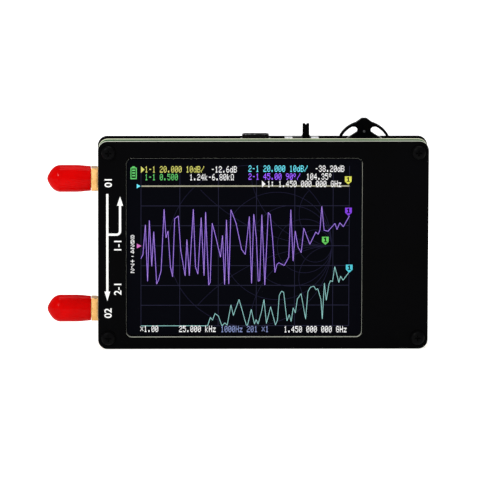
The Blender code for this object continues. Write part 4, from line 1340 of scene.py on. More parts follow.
    def build(self) -> None:
        """Builds the pieces of the display and then its picture."""
        low, high = node_box("screen_glass")
        glass = Shape().plate([Loop.around(low, high, 1.9)], low.y, high.y).rounded(0.12)
        glass.piece("touch_glass", [DARK_GLASS], "screen_glass")
        self.module()
        self.film()
        dress("display_tape", TAPE)
        self.chart()
        self.traces()
        self.writing()
        self.flags()
        for name, sheet in self.sheets.items():
            sheet.shape.piece(name, [sheet.finish], slot="screen_glass")

    def film(self) -> None:
        """Builds the flat cable with its row of soldered contacts."""
        low, high = node_box("display_flex")
        film = Shape().block(low, high).rounded(0.05, 1)
        (far, near), half = self.film_contact_ends, self.film_contact_half
        rise, sunk = self.film_contact_faces
        for step in range(self.film_contacts):
            z = low.z + self.film_margin + step
            film.block((high.x - far, low.y - rise, z - half),
                       (high.x - near, low.y + sunk, z + half))
        film.paint(1, lambda face: face.calc_center_median().y < low.y - 0.001)
        film.piece("display_film", [AMBER_FILM, TIN], "display_flex")

    def module(self) -> None:
        """Builds the display's steel tray with its light frame and folded lugs."""
        low, high = node_box("display_module")
        tray = Shape().block(low, high).rounded(0.22, 3)
        (far, near), (front, back) = self.lug_sides, self.lug_faces
        for step in range(self.lugs):
            z = low.z + self.lug_start + step * self.lug_pitch
            for outer, inner in ((low.x + far, low.x + near), (high.x - near, high.x - far)):
                tray.block((outer, high.y - front, z), (inner, high.y - back, z + self.lug_length))
        edge = low.y + self.light_frame_depth
        tray.paint(1, lambda face: face.calc_center_median().y < edge)
        tray.piece("display_tray", [STEEL, WHITE_RESIN], "display_module")

    def chart(self) -> None:
        """Draws the dark ground, the grid and the round impedance chart."""
        self.sheet("ground", SCREEN_BLACK, Layer.GROUND).bar(*self.ground)
        grid, half = self.sheet("grid", GRID_GREY, Layer.GRID), self.grid_line / 2
        left, top, width, height = self.grid
        for u in self.columns:
            grid.bar(u - half, top, self.grid_line, height)
        for v in self.rows:
            grid.bar(left, v - half, width, self.grid_line)
        chart, radius = self.sheet("chart", CHART_BLUE, Layer.PAINTED_HALO_AND_CHART), self.chart_radius
        for share in self.circle_shares:
            self.round_line(chart, (radius * (1 - share), 0.0), radius * share)
        for share, side in product(self.arc_shares, (1, -1)):
            self.round_line(chart, (radius, side * radius * share), radius * share)

    def round_line(self, sheet: Sheet, offset: Point, radius: float) -> None:
        """Draws the stretch of a circle that lies inside the chart.

        Args:
            sheet: The sheet to draw on.
            offset: From the chart's middle to the circle's, in millimetres.
            radius: The circle's radius in millimetres.
        """
        dots: list[Point] = []
        stretches = [dots]
        for step in range(self.chart_steps + 1):
            angle = math.tau * step / self.chart_steps + 0.01
            x, z = offset[0] + radius * math.cos(angle), offset[1] + radius * math.sin(angle)
            if math.hypot(x, z) <= self.chart_radius + 0.01:
                dots.append((self.chart_centre[0] + x * DISPLAY_DOTS[0] / WINDOW_SIZE[0],
                             self.chart_centre[1] - z * DISPLAY_DOTS[1] / WINDOW_SIZE[1]))
            elif dots:
                dots = []
                stretches.append(dots)
        for stretch in stretches:
            if len(stretch) > 1:
                sheet.line(stretch, self.chart_line)

    def traces(self) -> None:
        """Draws the reference line, the two measured curves and a painted glow halo round the
        violet curve.
        """
        self.sheet("reference", REFERENCE, Layer.TRACE).bar(*self.reference)
        for name, ink, layer, turns, width in (
                # the wide violet band is a painted glow halo round the violet trace
                ("violet_painted_halo", VIOLET_PAINTED_HALO, Layer.PAINTED_HALO_AND_CHART, self.violet_turns, self.painted_halo_line),
                ("violet_trace", VIOLET, Layer.WORDS, self.violet_turns, self.violet_line),
                ("cyan_trace", CYAN_TRACE, Layer.TRACE, self.cyan_turns, self.cyan_line)):
            self.sheet(name, ink, layer).line(turns, width)

    def writing(self) -> None:
        """Writes the made up figures and marks along the display's edges."""
        inks = {name: self.sheet(f"{name}_figures", WORD_INKS[name], Layer.FLAG)
                for name in WORD_INKS}
        inks["pink"] = self.sheet("pink_marks", PINK, Layer.FLAG)
        for name, words, u, v in self.words:
            inks[name].figures(words, u, v)
        inks["white"].figures(*self.side_figures)
        for name, *dots in self.arrowheads:
            inks[name].patch(*dots)
        for bar in self.battery_bars:
            inks["green"].bar(*bar)

    def flags(self) -> None:
        """Draws the four numbered marker flags."""
        ground = self.sheet("flag_figures", SCREEN_BLACK, Layer.FIGURE)
        for name, u, v in self.flag_tips:
            flag = self.sheet(f"{name}_flag", FLAG_INKS[name], Layer.FLAG)
            flag.patch(*[(u + a, v + b) for a, b in self.flag_outline])
            for a, b, width, height in self.flag_strokes:
                ground.bar(u + a, v + b, width, height)


@dataclass
class Legend:
    """The white print on the front panel."""

    line_width: float = 0.74
    thickness: float = 0.016
    figure_height: float = 2.35
    shaft: tuple[Point, Point] = ((-52.27, 19.495), (-51.53, 52.4))
    down_head: Points = ((-52.85, 19.5), (-51.9, 16.3), (-50.95, 19.5))
    branch_ends: tuple[Point, Point] = ((-51.535, 38.7), (-47.67, 48.455))
    bend_radius: float = 1.18
    bend_centre: Point = (-48.85, 39.88)
    up_head: Points = ((-48.68, 48.45), (-46.66, 48.45), (-47.67, 51.55))
    words: tuple[tuple[str, float, float], ...] = (
        ("01", -51.45, 56.3), ("1-1", -48.3, 35.0), ("2-1", -48.3, 20.5), ("02", -51.55, 12.2))

    def build(self) -> None:
        """Prints the signal arrows and the plain numbers beside them."""
        low, _ = node_box("front_panel")
        back, front = low.y + 0.002, low.y - self.thickness
        (left, bottom), (right, top) = self.shaft
        ink = Shape().block((left, front, bottom), (right, back, top))
        ink.outline(self.down_head, front, back)
        radius, (x, z) = self.bend_radius, self.bend_centre
        turns = [math.radians(step * 15) for step in range(7)]
        bend = [(x + radius * math.sin(turn), z - radius * math.cos(turn)) for turn in turns]
        branch = [self.branch_ends[0], *bend, self.branch_ends[1]]
        ink.ribbon(branch, self.line_width, front, back).outline(self.up_head, front, back)
        for words, x, z in self.words:
            ink.joined(self.figures(words, at((x, low.y - 0.006, z), READING_UP)))
        ink.piece("front_legend", [LEGEND_INK], slot="white_plastic")

    def figures(self, words: str, place: Matrix) -> Shape:
        """Makes printed figures as a thin solid.

        Args:
            words: The figures.
            place: Where their middle goes, from the XY plane.

        Returns:
            The shape.
        """
        curve = bpy.data.curves.new("figures", "FONT")
        curve.body, curve.size = words, self.figure_height * 1.45
        curve.align_x, curve.align_y = "CENTER", "CENTER"
        curve.extrude, curve.offset, curve.resolution_u = 0.008, 0.045, 4
        return drawn(curve).moved(place)


@dataclass
class AntennaPort:
    """A coaxial jack on the left edge, with its insulator, its contact and its red cap."""

    number: int
    cap_body: str
    flange_thickness: float = 1.9
    flange_size: Point = (7.6, 6.26)
    face: Point = (-57.2, 1.28)
    leg_spread: float = 3.25
    leg_half: float = 0.55
    leg_rows: Points = ((-3.13, -2.18), (-0.38, 0.57))
    leg_ends: Point = (-6.3, -1.75)
    joint_half: float = 0.95
    joint_rows: Points = ((-2.5, -2.06), (-0.48, -0.04))
    joint_ends: Point = (-6.75, -2.2)
    tail_joint: tuple[Point3, Point3] = ((-0.55, -0.5, -5.1), (0.55, 0.15, -2.8))
    shoulder: Point3 = (3.6, 3.0, 2.3)
    barrel_foot: float = -0.4
    barrel_length: float = 9.5
    crest: float = 3.175
    crest_wear: float = 0.02
    root: float = 2.82
    pitch: float = 0.7056
    collar_ends: Point = (0.55, 0.75)
    thread_start: float = 1.0
    thread_stop: float = 0.9
    thread_turn: Point3 = (0.25, 0.38, 0.06)
    nose: float = 0.42
    bore: float = 2.2
    bore_chamfer: float = 0.12
    inset: float = 0.3
    insulator_radius: float = 2.1
    insulator_bore: float = 0.735
    insulator_chamfers: Point = (0.12, 0.1)
    seat: float = -1.9
    tail_profile: Points = ((0.0, -5.0), (0.3, -5.0), (0.38, -4.9), (0.38, -1.9), (0.635, -1.9))
    mouth_profile: Points = (
        (0.635, -0.1), (0.555, 0.0), (0.5, 0.0), (0.47, -0.1), (0.47, -3.0), (0.0, -3.2))
    slot_half: float = 0.07
    slot_length: float = 2.2
    cap_gap: float = 0.1
    cap_profile: Points = (
        (3.52, 0.0), (4.0, 0.0), (4.11, 0.1), (4.17, 0.35), (4.22, 1.1), (4.33, 2.3),
        (4.45, 3.6), (4.5, 4.8), (4.505, 6.2), (4.505, 8.4), (4.505, 10.4), (4.46, 10.75),
        (4.33, 11.2), (4.12, 11.75), (3.78, 12.3), (3.3, 12.85), (2.75, 13.32), (2.15, 13.72),
        (1.55, 14.05), (0.9, 14.4), (0.0, 14.6), (0.0, 12.6), (1.54, 12.5), (2.4, 12.1),
        (3.1, 11.3), (3.425, 10.6), (3.425, 5.0), (3.425, 0.12), (3.52, 0.0))

    def place(self, gap: float = 0.0) -> Matrix:
        """Gives the middle of the flange's outer face, or a gap out of it, with local Z out."""
        _, z = middle_of(*node_box(f"antenna_jack_{self.number}"))
        return at((self.face[0] - gap, self.face[1], z), FACING_LEFT)

    def bars(self, half: float, rows: Points, ends: Point) -> Shape:
        """Builds four bars, two on each side of the jack.

        Args:
            half: Half their width.
            rows: From where to where each lies across the board.
            ends: Their inner and outer end.

        Returns:
            The bars, with local Z out of the flange.
        """
        bars = Shape()
        for side, (low, high) in product((-self.leg_spread, self.leg_spread), rows):
            bars.block((side - half, low, ends[0]), (side + half, high, ends[1]))
        return bars

    def barrel(self) -> list[Point]:
        """Draws the threaded barrel's closed profile of radius and height.

        Returns:
            The profile's points.
        """
        bore, root, end, foot = self.bore, self.root, self.barrel_length, self.barrel_foot
        crest, edge, height = self.crest - self.crest_wear, self.bore_chamfer, self.thread_start
        (collar, relief), (rise, flat, rest) = self.collar_ends, self.thread_turn
        profile: list[Point] = [(bore, foot), (self.crest, foot), (self.crest, collar),
                                (root, relief), (root, height)]
        while height < end - self.thread_stop:
            profile += [(crest, height + rise), (crest, height + flat),
                        (root, height + self.pitch - rest)]
            height += self.pitch
        return profile + [(crest, end - self.nose), (root, end), (bore + edge, end),
                          (bore, end - edge)]

    def jack(self) -> None:
        """Builds the jack's plated body."""
        loops = [Loop((0, 0), *self.flange_size, 0.3, 3), Ring((0, 0), self.bore, 48)]
        flange = Shape().plate(loops, 0.0, self.flange_thickness).moved(FACING_BACK).rounded(0.14)
        legs = self.bars(self.leg_half, self.leg_rows, self.leg_ends)
        wide, tall, deep = self.shoulder
        shoulder = Shape().block((-wide, -tall, -deep), (wide, tall, -self.flange_thickness))
        barrel = Shape().lathe(self.barrel(), 64, closed=True)
        flange.joined(legs.rounded(0.12), shoulder.rounded(0.1), barrel).moved(self.place())
        node = f"antenna_jack_{self.number}"
        flange.piece(f"{node}_plated", [GOLD_PLATE], node)

    def solder(self) -> None:
        """Builds the solder along the jack's legs."""
        joints = self.bars(self.joint_half, self.joint_rows, self.joint_ends)
        joints.block(*self.tail_joint).rounded(0.2, 3)
        joints.moved(self.place()).piece(f"jack_solder_{self.number}", [TIN], slot="steel")

    def contact(self) -> None:
        """Builds the centre contact with its four spring slots and its thin tail."""
        front, thin = self.barrel_length - self.inset, self.slot_half
        mouth = [(radius, front + height) for radius, height in self.mouth_profile]
        pin, floor = Shape().lathe([*self.tail_profile, *mouth], 32), front - self.slot_length
        for wide, deep in ((1.0, thin), (thin, 1.0)):
            pin.carved(Shape().block((-wide, -deep, floor), (wide, deep, front + 1)))
        node = f"jack_contact_{self.number}"
        pin.moved(self.place()).piece(f"{node}_plated", [GOLD_PLATE], node)

    def insulator(self) -> None:
        """Builds the white sleeve round the contact."""
        front, seat = self.barrel_length - self.inset, self.seat
        inner, outer, (edge, mouth) = (
            self.insulator_bore, self.insulator_radius, self.insulator_chamfers)
        ring = [(inner, seat), (outer, seat), (outer, front - edge), (outer - edge, front),
                (inner + mouth, front), (inner, front - mouth)]
        node = f"jack_insulator_{self.number}"
        sleeve = Shape().lathe(ring, place=self.place(), closed=True)
        sleeve.piece(f"{node}_turned", [WHITE_RESIN], node)

    def cap(self) -> None:
        """Builds the soft cap with a thin lip and a blunt nose."""
        node = f"dust_cap_{self.number}"
        cap = Shape().lathe(self.cap_profile, 72).moved(self.place(self.cap_gap))
        cap.piece(f"{node}_moulded", [RED_VINYL], node, self.cap_body, sharp=60.0)

    def build(self) -> None:
        """Builds the port."""
        self.jack()
        self.solder()
        self.contact()
        self.insulator()
        self.cap()


@dataclass
class ChargingSocket:
    """The charging socket on the top edge."""

    mouth: Point = (8.94, 3.16)
    corner: float = 1.48
    wall: float = 0.3
    ear_reach: Point = (4.2, 4.97)
    ear_height: float = 1.6
    seam_half: float = 0.07
    lock_half: float = 0.5
    lock_low: float = 67.6
    root_size: Point = (8.14, 2.36)
    root_corner: float = 1.08
    blade_half: Point = (3.35, 0.32)
    contacts: int = 12
    contact_pitch: float = 0.5
    contact_half: float = 0.12
    contact_ends: Point = (4.0, 0.5)
    contact_faces: Point = (0.30, 0.35)
    root_height: float = 1.6
    blade_foot: float = 1.0
    ear_depth: float = 2.2
    seam_depth: float = 0.12

    def build(self) -> None:
        """Builds the steel shell with its ears and the tongue with its contacts."""
        low, high = node_box("usb_shell")
        x, y, ear_low = (low.x + high.x) / 2, low.y + self.mouth[1] / 2, BOARD_TOP - self.ear_height
        outer = Loop((x, 0), *self.mouth, self.corner, 10)
        inside = [size - 2 * self.wall for size in self.mouth]
        inner = Loop((x, 0), *inside, self.corner - self.wall, 10)
        shell = Shape().plate([outer, inner], low.z, high.z)
        shell.moved(at((0, y, 0), FACING_FRONT)).rounded(0.07)
        ears = Shape()
        for side in SIDES:
            near, far = (x + side * reach for reach in self.ear_reach)
            ears.block((near, low.y, ear_low), (far, low.y + self.ear_depth, BOARD_TOP))
        for half, bottom, top in ((self.seam_half, low.z + 1, high.z + 1),
                                  (self.lock_half, self.lock_low, ear_low)):
            shell.carved(Shape().block((x - half, low.y - 1, bottom),
                                       (x + half, low.y + self.seam_depth, top)))
        shell.joined(ears.rounded(0.03))
        # the shell's dark colour is painted shade on bright steel
        shell.piece("usb_shell_stamped", [STEEL_WITH_PAINTED_SHADE], "usb_shell")
        self.tongue(x, y)

    def tongue(self, x: float, y: float) -> None:
        """Builds the plastic tongue and the gold contacts on both of its faces.

        Args:
            x: The socket's middle.
            y: Its middle from front to back.
        """
        low, high = node_box("usb_tongue")
        outline, (sunk, proud) = Loop((x, 0), *self.root_size, self.root_corner), self.contact_faces
        root = Shape().plate([outline], low.z, low.z + self.root_height)
        (wide, deep), half, (inner, outer) = self.blade_half, self.contact_half, self.contact_ends
        blade = Shape().block((x - wide, y - deep, low.z + self.blade_foot),
                              (x + wide, y + deep, high.z))
        rows = Shape()
        for step, side in product(range(self.contacts), SIDES):
            middle = x + (step - (self.contacts - 1) / 2) * self.contact_pitch
            rows.block((middle - half, y + side * sunk, high.z - inner),
                       (middle + half, y + side * proud, high.z - outer))
        tongue = root.moved(at((0, y, 0), FACING_FRONT)).joined(blade.rounded(0.12), rows.paint(1))
        tongue.piece("usb_tongue_moulded", [BLACK_RESIN, GOLD_PLATE], "usb_tongue")


@dataclass
class PowerSwitch:
    """The slide switch on the top edge."""

    wall: float = 0.35
    slot_half: float = 3.1
    slot_depth: float = 1.35
    sill: float = 70.3
    dimple_spread: float = 3.2
    dimple_half: float = 0.45
    dimple_faces: Point = (1.9, 1.82)
    dimple_ends: Point = (0.3, 1.2)
    slide_height: float = 1.1
    stem_half: Point = (1.1, 0.75)
    stem_overlap: Point = (0.5, 0.4)
    neck: Points = ((1.5, 0.1), (1.12, 0.8))
    tip_height: float = 0.5
    notch: Point = (0.33, 0.5)
    grips: int = 4
    grip_start: float = 0.9
    grip_pitch: float = 0.55
    grip_half: Point3 = (0.85, 0.8, 0.12)

    def build(self) -> None:
        """Builds the stamped shell, its base and the slide with its notched lever."""
        low, high = node_box("switch_shell")
        x, y, wall = (low.x + high.x) / 2, (low.y + high.y) / 2, self.wall
        shell = Shape().block(low, high)
        shell.rounded(0.28, 3, test=lambda edge: is_upright(edge)
                      or all(vert.co.z > high.z - 0.01 for vert in edge.verts))
        shell.carved(Shape().block((low.x + wall, low.y + wall, low.z - 1),
                                   (high.x - wall, high.y - wall, high.z - wall)))
        slot = Shape().block((x - self.slot_half, low.y - 1, high.z - wall),
                             (x + self.slot_half, y + self.slot_depth, high.z + 1))
        shell.carved(slot.rounded(0.25, 3, test=is_upright))
        (outer, inner), (bottom, top) = self.dimple_faces, self.dimple_ends
        for side, end in product(SIDES, SIDES):
            spot, half = x + end * self.dimple_spread, self.dimple_half
            shell.block((spot - half, y + side * outer, low.z + bottom),
                        (spot + half, y + side * inner, low.z + top))
        shell.piece("switch_shell_stamped", [STEEL], "switch_shell")
        base = Shape().block(*node_box("switch_base")).rounded(0.1)
        base.piece("switch_base_pressed", [BROWN_BOARD], "switch_base")
        self.lever()

    def lever(self) -> None:
        """Builds the slide, its neck and the stem with its notched tip."""
        low, high = node_box("switch_lever")
        x, y, top, (wide, deep) = (low.x + high.x) / 2, (low.y + high.y) / 2, high.z, self.stem_half
        slide = Shape().block(low, (high.x, high.y, low.z + self.slide_height)).rounded(0.08)
        half = [(reach, self.sill + rise) for reach, rise in self.neck]
        half += [(wide, top - self.tip_height), (wide, top), (self.notch[0], top),
                 (0.0, top - self.notch[1])]
        points = [(x + a, z) for a, z in half] + [(x - a, z) for a, z in reversed(half[:-1])]
        stem = Shape().outline(points, y - deep, y + deep).rounded(0.07, degrees=25.0)
        below, above = self.stem_overlap
        stem.block((x - wide, y - deep, low.z + below), (x + wide, y + deep, self.sill + above))
        grip = Vector(self.grip_half)
        for step in range(self.grips):
            spot = Vector((x, y, top - self.grip_start - step * self.grip_pitch))
            stem.block(spot - grip, spot + grip)
        slide.joined(stem)
        slide.piece("switch_lever_moulded", [BLACK_RESIN], "switch_lever", "power_slider")


@dataclass
class ThumbRocker:
    """The rocker on the top edge that tilts both ways and is pressed in."""

    pivot: Point3 = (33.7, 3.3, 66.1)
    rim_radius: float = 9.4
    rim_thickness: float = 0.8
    rim_degrees: float = 61.0
    hump: Point = (0.8, 2.7)
    web_height: float = 7.6
    stem_half_width: float = 2.2
    eye_radius: float = 1.15
    eye_degrees: float = 130.0
    hollow: float = 5.19
    underside: float = 3.03
    skirt: Point = (56.0, 1.5)
    thickness: float = 2.6
    bore_radius: float = 0.56
    tongue_radius: float = 1.8
    tongue_half: float = 0.55
    tongue_top: float = 5.9
    gate_height: float = 6.1
    gate_profile: Points = (
        (0, -0.1), (0.42, -0.1), (0.42, 0.02), (0.36, 0.04), (0, 0.04))
    pin_profile: Points = (
        (0, -1.55), (0.38, -1.55), (0.5, -1.43), (0.5, 1.43), (0.38, 1.55), (0, 1.55))
    pocket_half: Point = (2.95, 1.8)
    pocket_floor: float = 1.0
    slot_half: float = 0.8
    slot_floor: float = 2.05
    clip_faces: Point = (4.6, 4.85)
    clip_half: float = 1.3
    clip_inset: float = 0.6
    tab_spots: Point = (-1.1, 1.1)
    tab_faces: Point = (0.08, 1.2)
    tab_drops: Point = (3.2, 2.6)
    wire_width: float = 0.26
    wire_faces: Point = (2.0, 1.74)
    wire_turns: Points = ((4.75, -1.2), (4.75, 2.4), (6.2, 3.5), (4.85, 4.75))

    @staticmethod
    def arc(radius: float, start: float, end: float, steps: int,
            centre: Point = (0.0, 0.0)) -> list[Point]:
        """Draws an arc.

        Args:
            radius: Its radius.
            start: Its first direction, in degrees clockwise from straight up.
            end: Its last direction.
            steps: How many steps it has.
            centre: Its middle.

        Returns:
            Its points.
        """
        x, z = centre
        turns = [math.radians(start + (end - start) * step / steps) for step in range(steps + 1)]
        return [(x + radius * math.sin(turn), z + radius * math.cos(turn)) for turn in turns]

    def half_outline(self) -> list[Point]:
        """Draws the right half of the lever round its pivot.

        Returns:
            The points from the top of the hump to the end of the underside.
        """
        inside = self.rim_radius - self.rim_thickness
        foot = math.degrees(math.asin(self.hump[1] / self.rim_radius))
        web = math.degrees(math.acos(self.web_height / inside))
        eye = (self.stem_half_width + self.eye_radius, self.web_height - self.eye_radius)
        points = [(self.hump[0], self.rim_radius + 1.0)]
        points += self.arc(self.rim_radius, foot, self.rim_degrees, 20)
        points += self.arc(inside, self.rim_degrees, web, 10)
        points += self.arc(self.eye_radius, 0, -self.eye_degrees, 12, eye)
        angle, radius = math.radians(self.skirt[0]), self.hollow + self.skirt[1]
        points.append((radius * math.sin(angle), radius * math.cos(angle)))
        return points + [(math.sqrt(self.hollow ** 2 - self.underside ** 2), self.underside)]

    def pin_hole(self) -> Shape:
        """Makes the tool that cuts the pin's hole."""
        hole = [(0, -3), (self.bore_radius, -3), (self.bore_radius, 3), (0, 3)]
        return Shape().lathe(hole, 24, at(self.pivot, FACING_FRONT))

    def lever(self) -> None:
        """Builds the black lever with rounded edges and its tongue on the pin."""
        x, y, z = self.pivot
        right, half, thin = self.half_outline(), self.thickness / 2, self.tongue_half
        points = right + [(-a, b) for a, b in reversed(right)]
        lever = Shape().outline([(x + a, z + b) for a, b in points], y - half, y + half)
        lever.rounded(0.16, 3)
        tongue = self.arc(self.tongue_radius, 90, 270, 16)
        tongue += [(side * self.tongue_radius, self.tongue_top) for side in SIDES]
        strip = Shape().outline([(x + a, z + b) for a, b in tongue], y - thin, y + thin)
        mark = at((x, y - half, z + self.gate_height), FACING_FRONT)
        gate = Shape().lathe(self.gate_profile, 24, mark)
        lever.joined(strip.carved(self.pin_hole()), gate.paint(1))
        lever.piece("jog_lever_moulded", [BLACK_RESIN, GREY_MARK], "jog_lever", "jog_rocker",
                    sharp=50.0)

    def build(self) -> None:
        """Builds the rocker's base, carrier, pin and lever."""
        low, high = node_box("jog_base")
        x, y, z = self.pivot
        base = Shape().block(low, high).rounded(0.25, 3)
        wide, deep = self.pocket_half
        base.carved(Shape().block((x - wide, y - deep, low.z + self.pocket_floor),
                                  (x + wide, y + deep, high.z + 1)))
        base.piece("jog_base_moulded", [BLACK_RESIN], "jog_base")
        self.springs(low, high)
        low, high = node_box("jog_carrier")
        carrier = Shape().block(low, high).rounded(0.18)
        half, floor = self.slot_half, z - self.slot_floor
        slot = Shape().block((low.x - 1, y - half, floor), (high.x + 1, y + half, high.z + 1))
        carrier.carved(slot).carved(self.pin_hole())
        carrier.piece("jog_carrier_moulded", [WHITE_RESIN], "jog_carrier", "jog_plunger")
        pin = Shape().lathe(self.pin_profile, 32, at(self.pivot, FACING_FRONT))
        pin.piece("jog_pivot_pin_turned", [STEEL], "jog_pivot_pin", "jog_plunger")
        self.lever()

    def springs(self, low: Vector, high: Vector) -> None:
        """Builds the base's steel clips and the bent return wires.

        Args:
            low: The base's lowest corner.
            high: The base's highest corner.
        """
        x, y, z = self.pivot
        clips, wires, half, inset = Shape(), Shape(), self.clip_half, self.clip_inset
        (near, far), (bottom, top), (front, back) = self.tab_faces, self.tab_drops, self.wire_faces
        for side in SIDES:
            inner, outer = (x + side * face for face in self.clip_faces)
            clips.block((inner, y - half, low.z + inset), (outer, y + half, high.z - inset))
            for spot in self.tab_spots:
                clips.block((inner, low.y - near, high.z + spot - bottom),
                            (outer, y - far, high.z + spot - top))
            turns = [(x + side * a, z + b) for a, b in self.wire_turns]
            wires.ribbon(turns, self.wire_width, y - front, y - back)
        clips.rounded(0.06).piece("jog_base_clips", [STEEL], slot="steel")
        wires.rounded(0.07, degrees=40.0).piece("jog_return_wires", [STEEL], slot="steel")


@dataclass
class BatteryPack:
    """The battery pouch, its leads, their plug and its socket."""

    side_seam: float = 0.35
    cell_drop: float = 3.2
    fold_width: float = 0.5
    fold_rise: float = 0.8
    fold_drop: float = 3.4
    fold_faces: Point = (0.5, 0.9)
    wrap_inset: float = 1.2
    wrap_height: float = 4.2
    wrap_faces: Point = (0.8, 1.1)
    lead_radius: float = 0.5
    turn_shares: tuple[float, float] = (0.65, 0.35)
    plug_slack: float = 0.25
    key_half: float = 0.35
    key_ends: Point = (0.5, 0.2)
    key_depth: float = 0.1

    def pouch(self) -> None:
        """Builds the foil pouch with folded sides and a wrapped upper edge."""
        low, high = node_box("battery")
        seam, fold, inset = self.side_seam, self.fold_width, self.wrap_inset
        cell = Shape().block((low.x + seam, low.y, low.z),
                             (high.x - seam, high.y, high.z - self.cell_drop))
        folds, (front, back) = Shape(), self.fold_faces
        for left in (low.x, high.x - fold):
            folds.block((left, low.y + front, low.z + self.fold_rise),
                        (left + fold, high.y - back, high.z - self.fold_drop))
        front, back = self.wrap_faces
        wrap = Shape().block((low.x + inset, low.y + front, high.z - self.wrap_height),
                             (high.x - inset, high.y - back, high.z))
        cell.rounded(0.9, 4).joined(folds.rounded(0.15), wrap.rounded(0.35, 3).paint(1))
        cell.piece("battery_pouch", [FOIL, AMBER_FILM], "battery")

    def lead(self, node: str, finish: Finish, turn_share: float) -> None:
        """Builds one insulated lead on the path of its CAD solid.

        Args:
            node: The CAD node that it stands for.
            finish: Its insulation.
            turn_share: Where along its run it turns down.
        """
        low, high = node_box(node)
        y, radius = (low.y + high.y) / 2, self.lead_radius
        start, end = Vector((low.x, y, high.z - radius)), Vector((high.x, y, low.z + radius))
        run = Vector((end.x - start.x, 0, 0))
        curve = bpy.data.curves.new("lead", "CURVE")
        curve.dimensions, curve.resolution_u = "3D", 32
        curve.bevel_depth, curve.bevel_resolution, curve.use_fill_caps = radius, 4, True
        spline = curve.splines.new("BEZIER")
        spline.bezier_points.add(1)
        bends = (start + run * turn_share, end - run * (1 - turn_share))
        for point, spot, bend in zip(spline.bezier_points, (start, end), bends):
            point.handle_left_type = point.handle_right_type = "FREE"
            point.co, point.handle_left, point.handle_right = spot, bend, bend
        drawn(curve).piece(f"{node}_drawn", [finish], node)

    def connector(self) -> None:
        """Builds the plug and the socket on the main board."""
        low, high = node_box("battery_plug")
        (_, z), slack, half = middle_of(low, high), self.plug_slack, self.key_half
        plug, (start, end) = Shape().block(low, high).rounded(0.15), self.key_ends
        plug.block((low.x + start, low.y, z - half),
                   (high.x - end, low.y + self.key_depth, z + half))
        plug.piece("battery_plug_moulded", [WHITE_RESIN], "battery_plug")
        socket_low, socket_high = node_box("battery_socket")
        pocket = Shape().block((socket_low.x - 1, low.y - slack, low.z - slack),
                               (high.x + slack, high.y + slack, high.z + slack))
        socket = Shape().block(socket_low, socket_high).rounded(0.15).carved(pocket)
        socket.piece("battery_socket_moulded", [WHITE_RESIN], "battery_socket")

    def build(self) -> None:
        """Builds the pack."""
        self.pouch()
        dress("battery_tape", TAPE)
        self.lead("battery_lead_red", RED_LEAD, self.turn_shares[0])
        self.lead("battery_lead_black", BLACK_LEAD, self.turn_shares[1])
        self.connector()


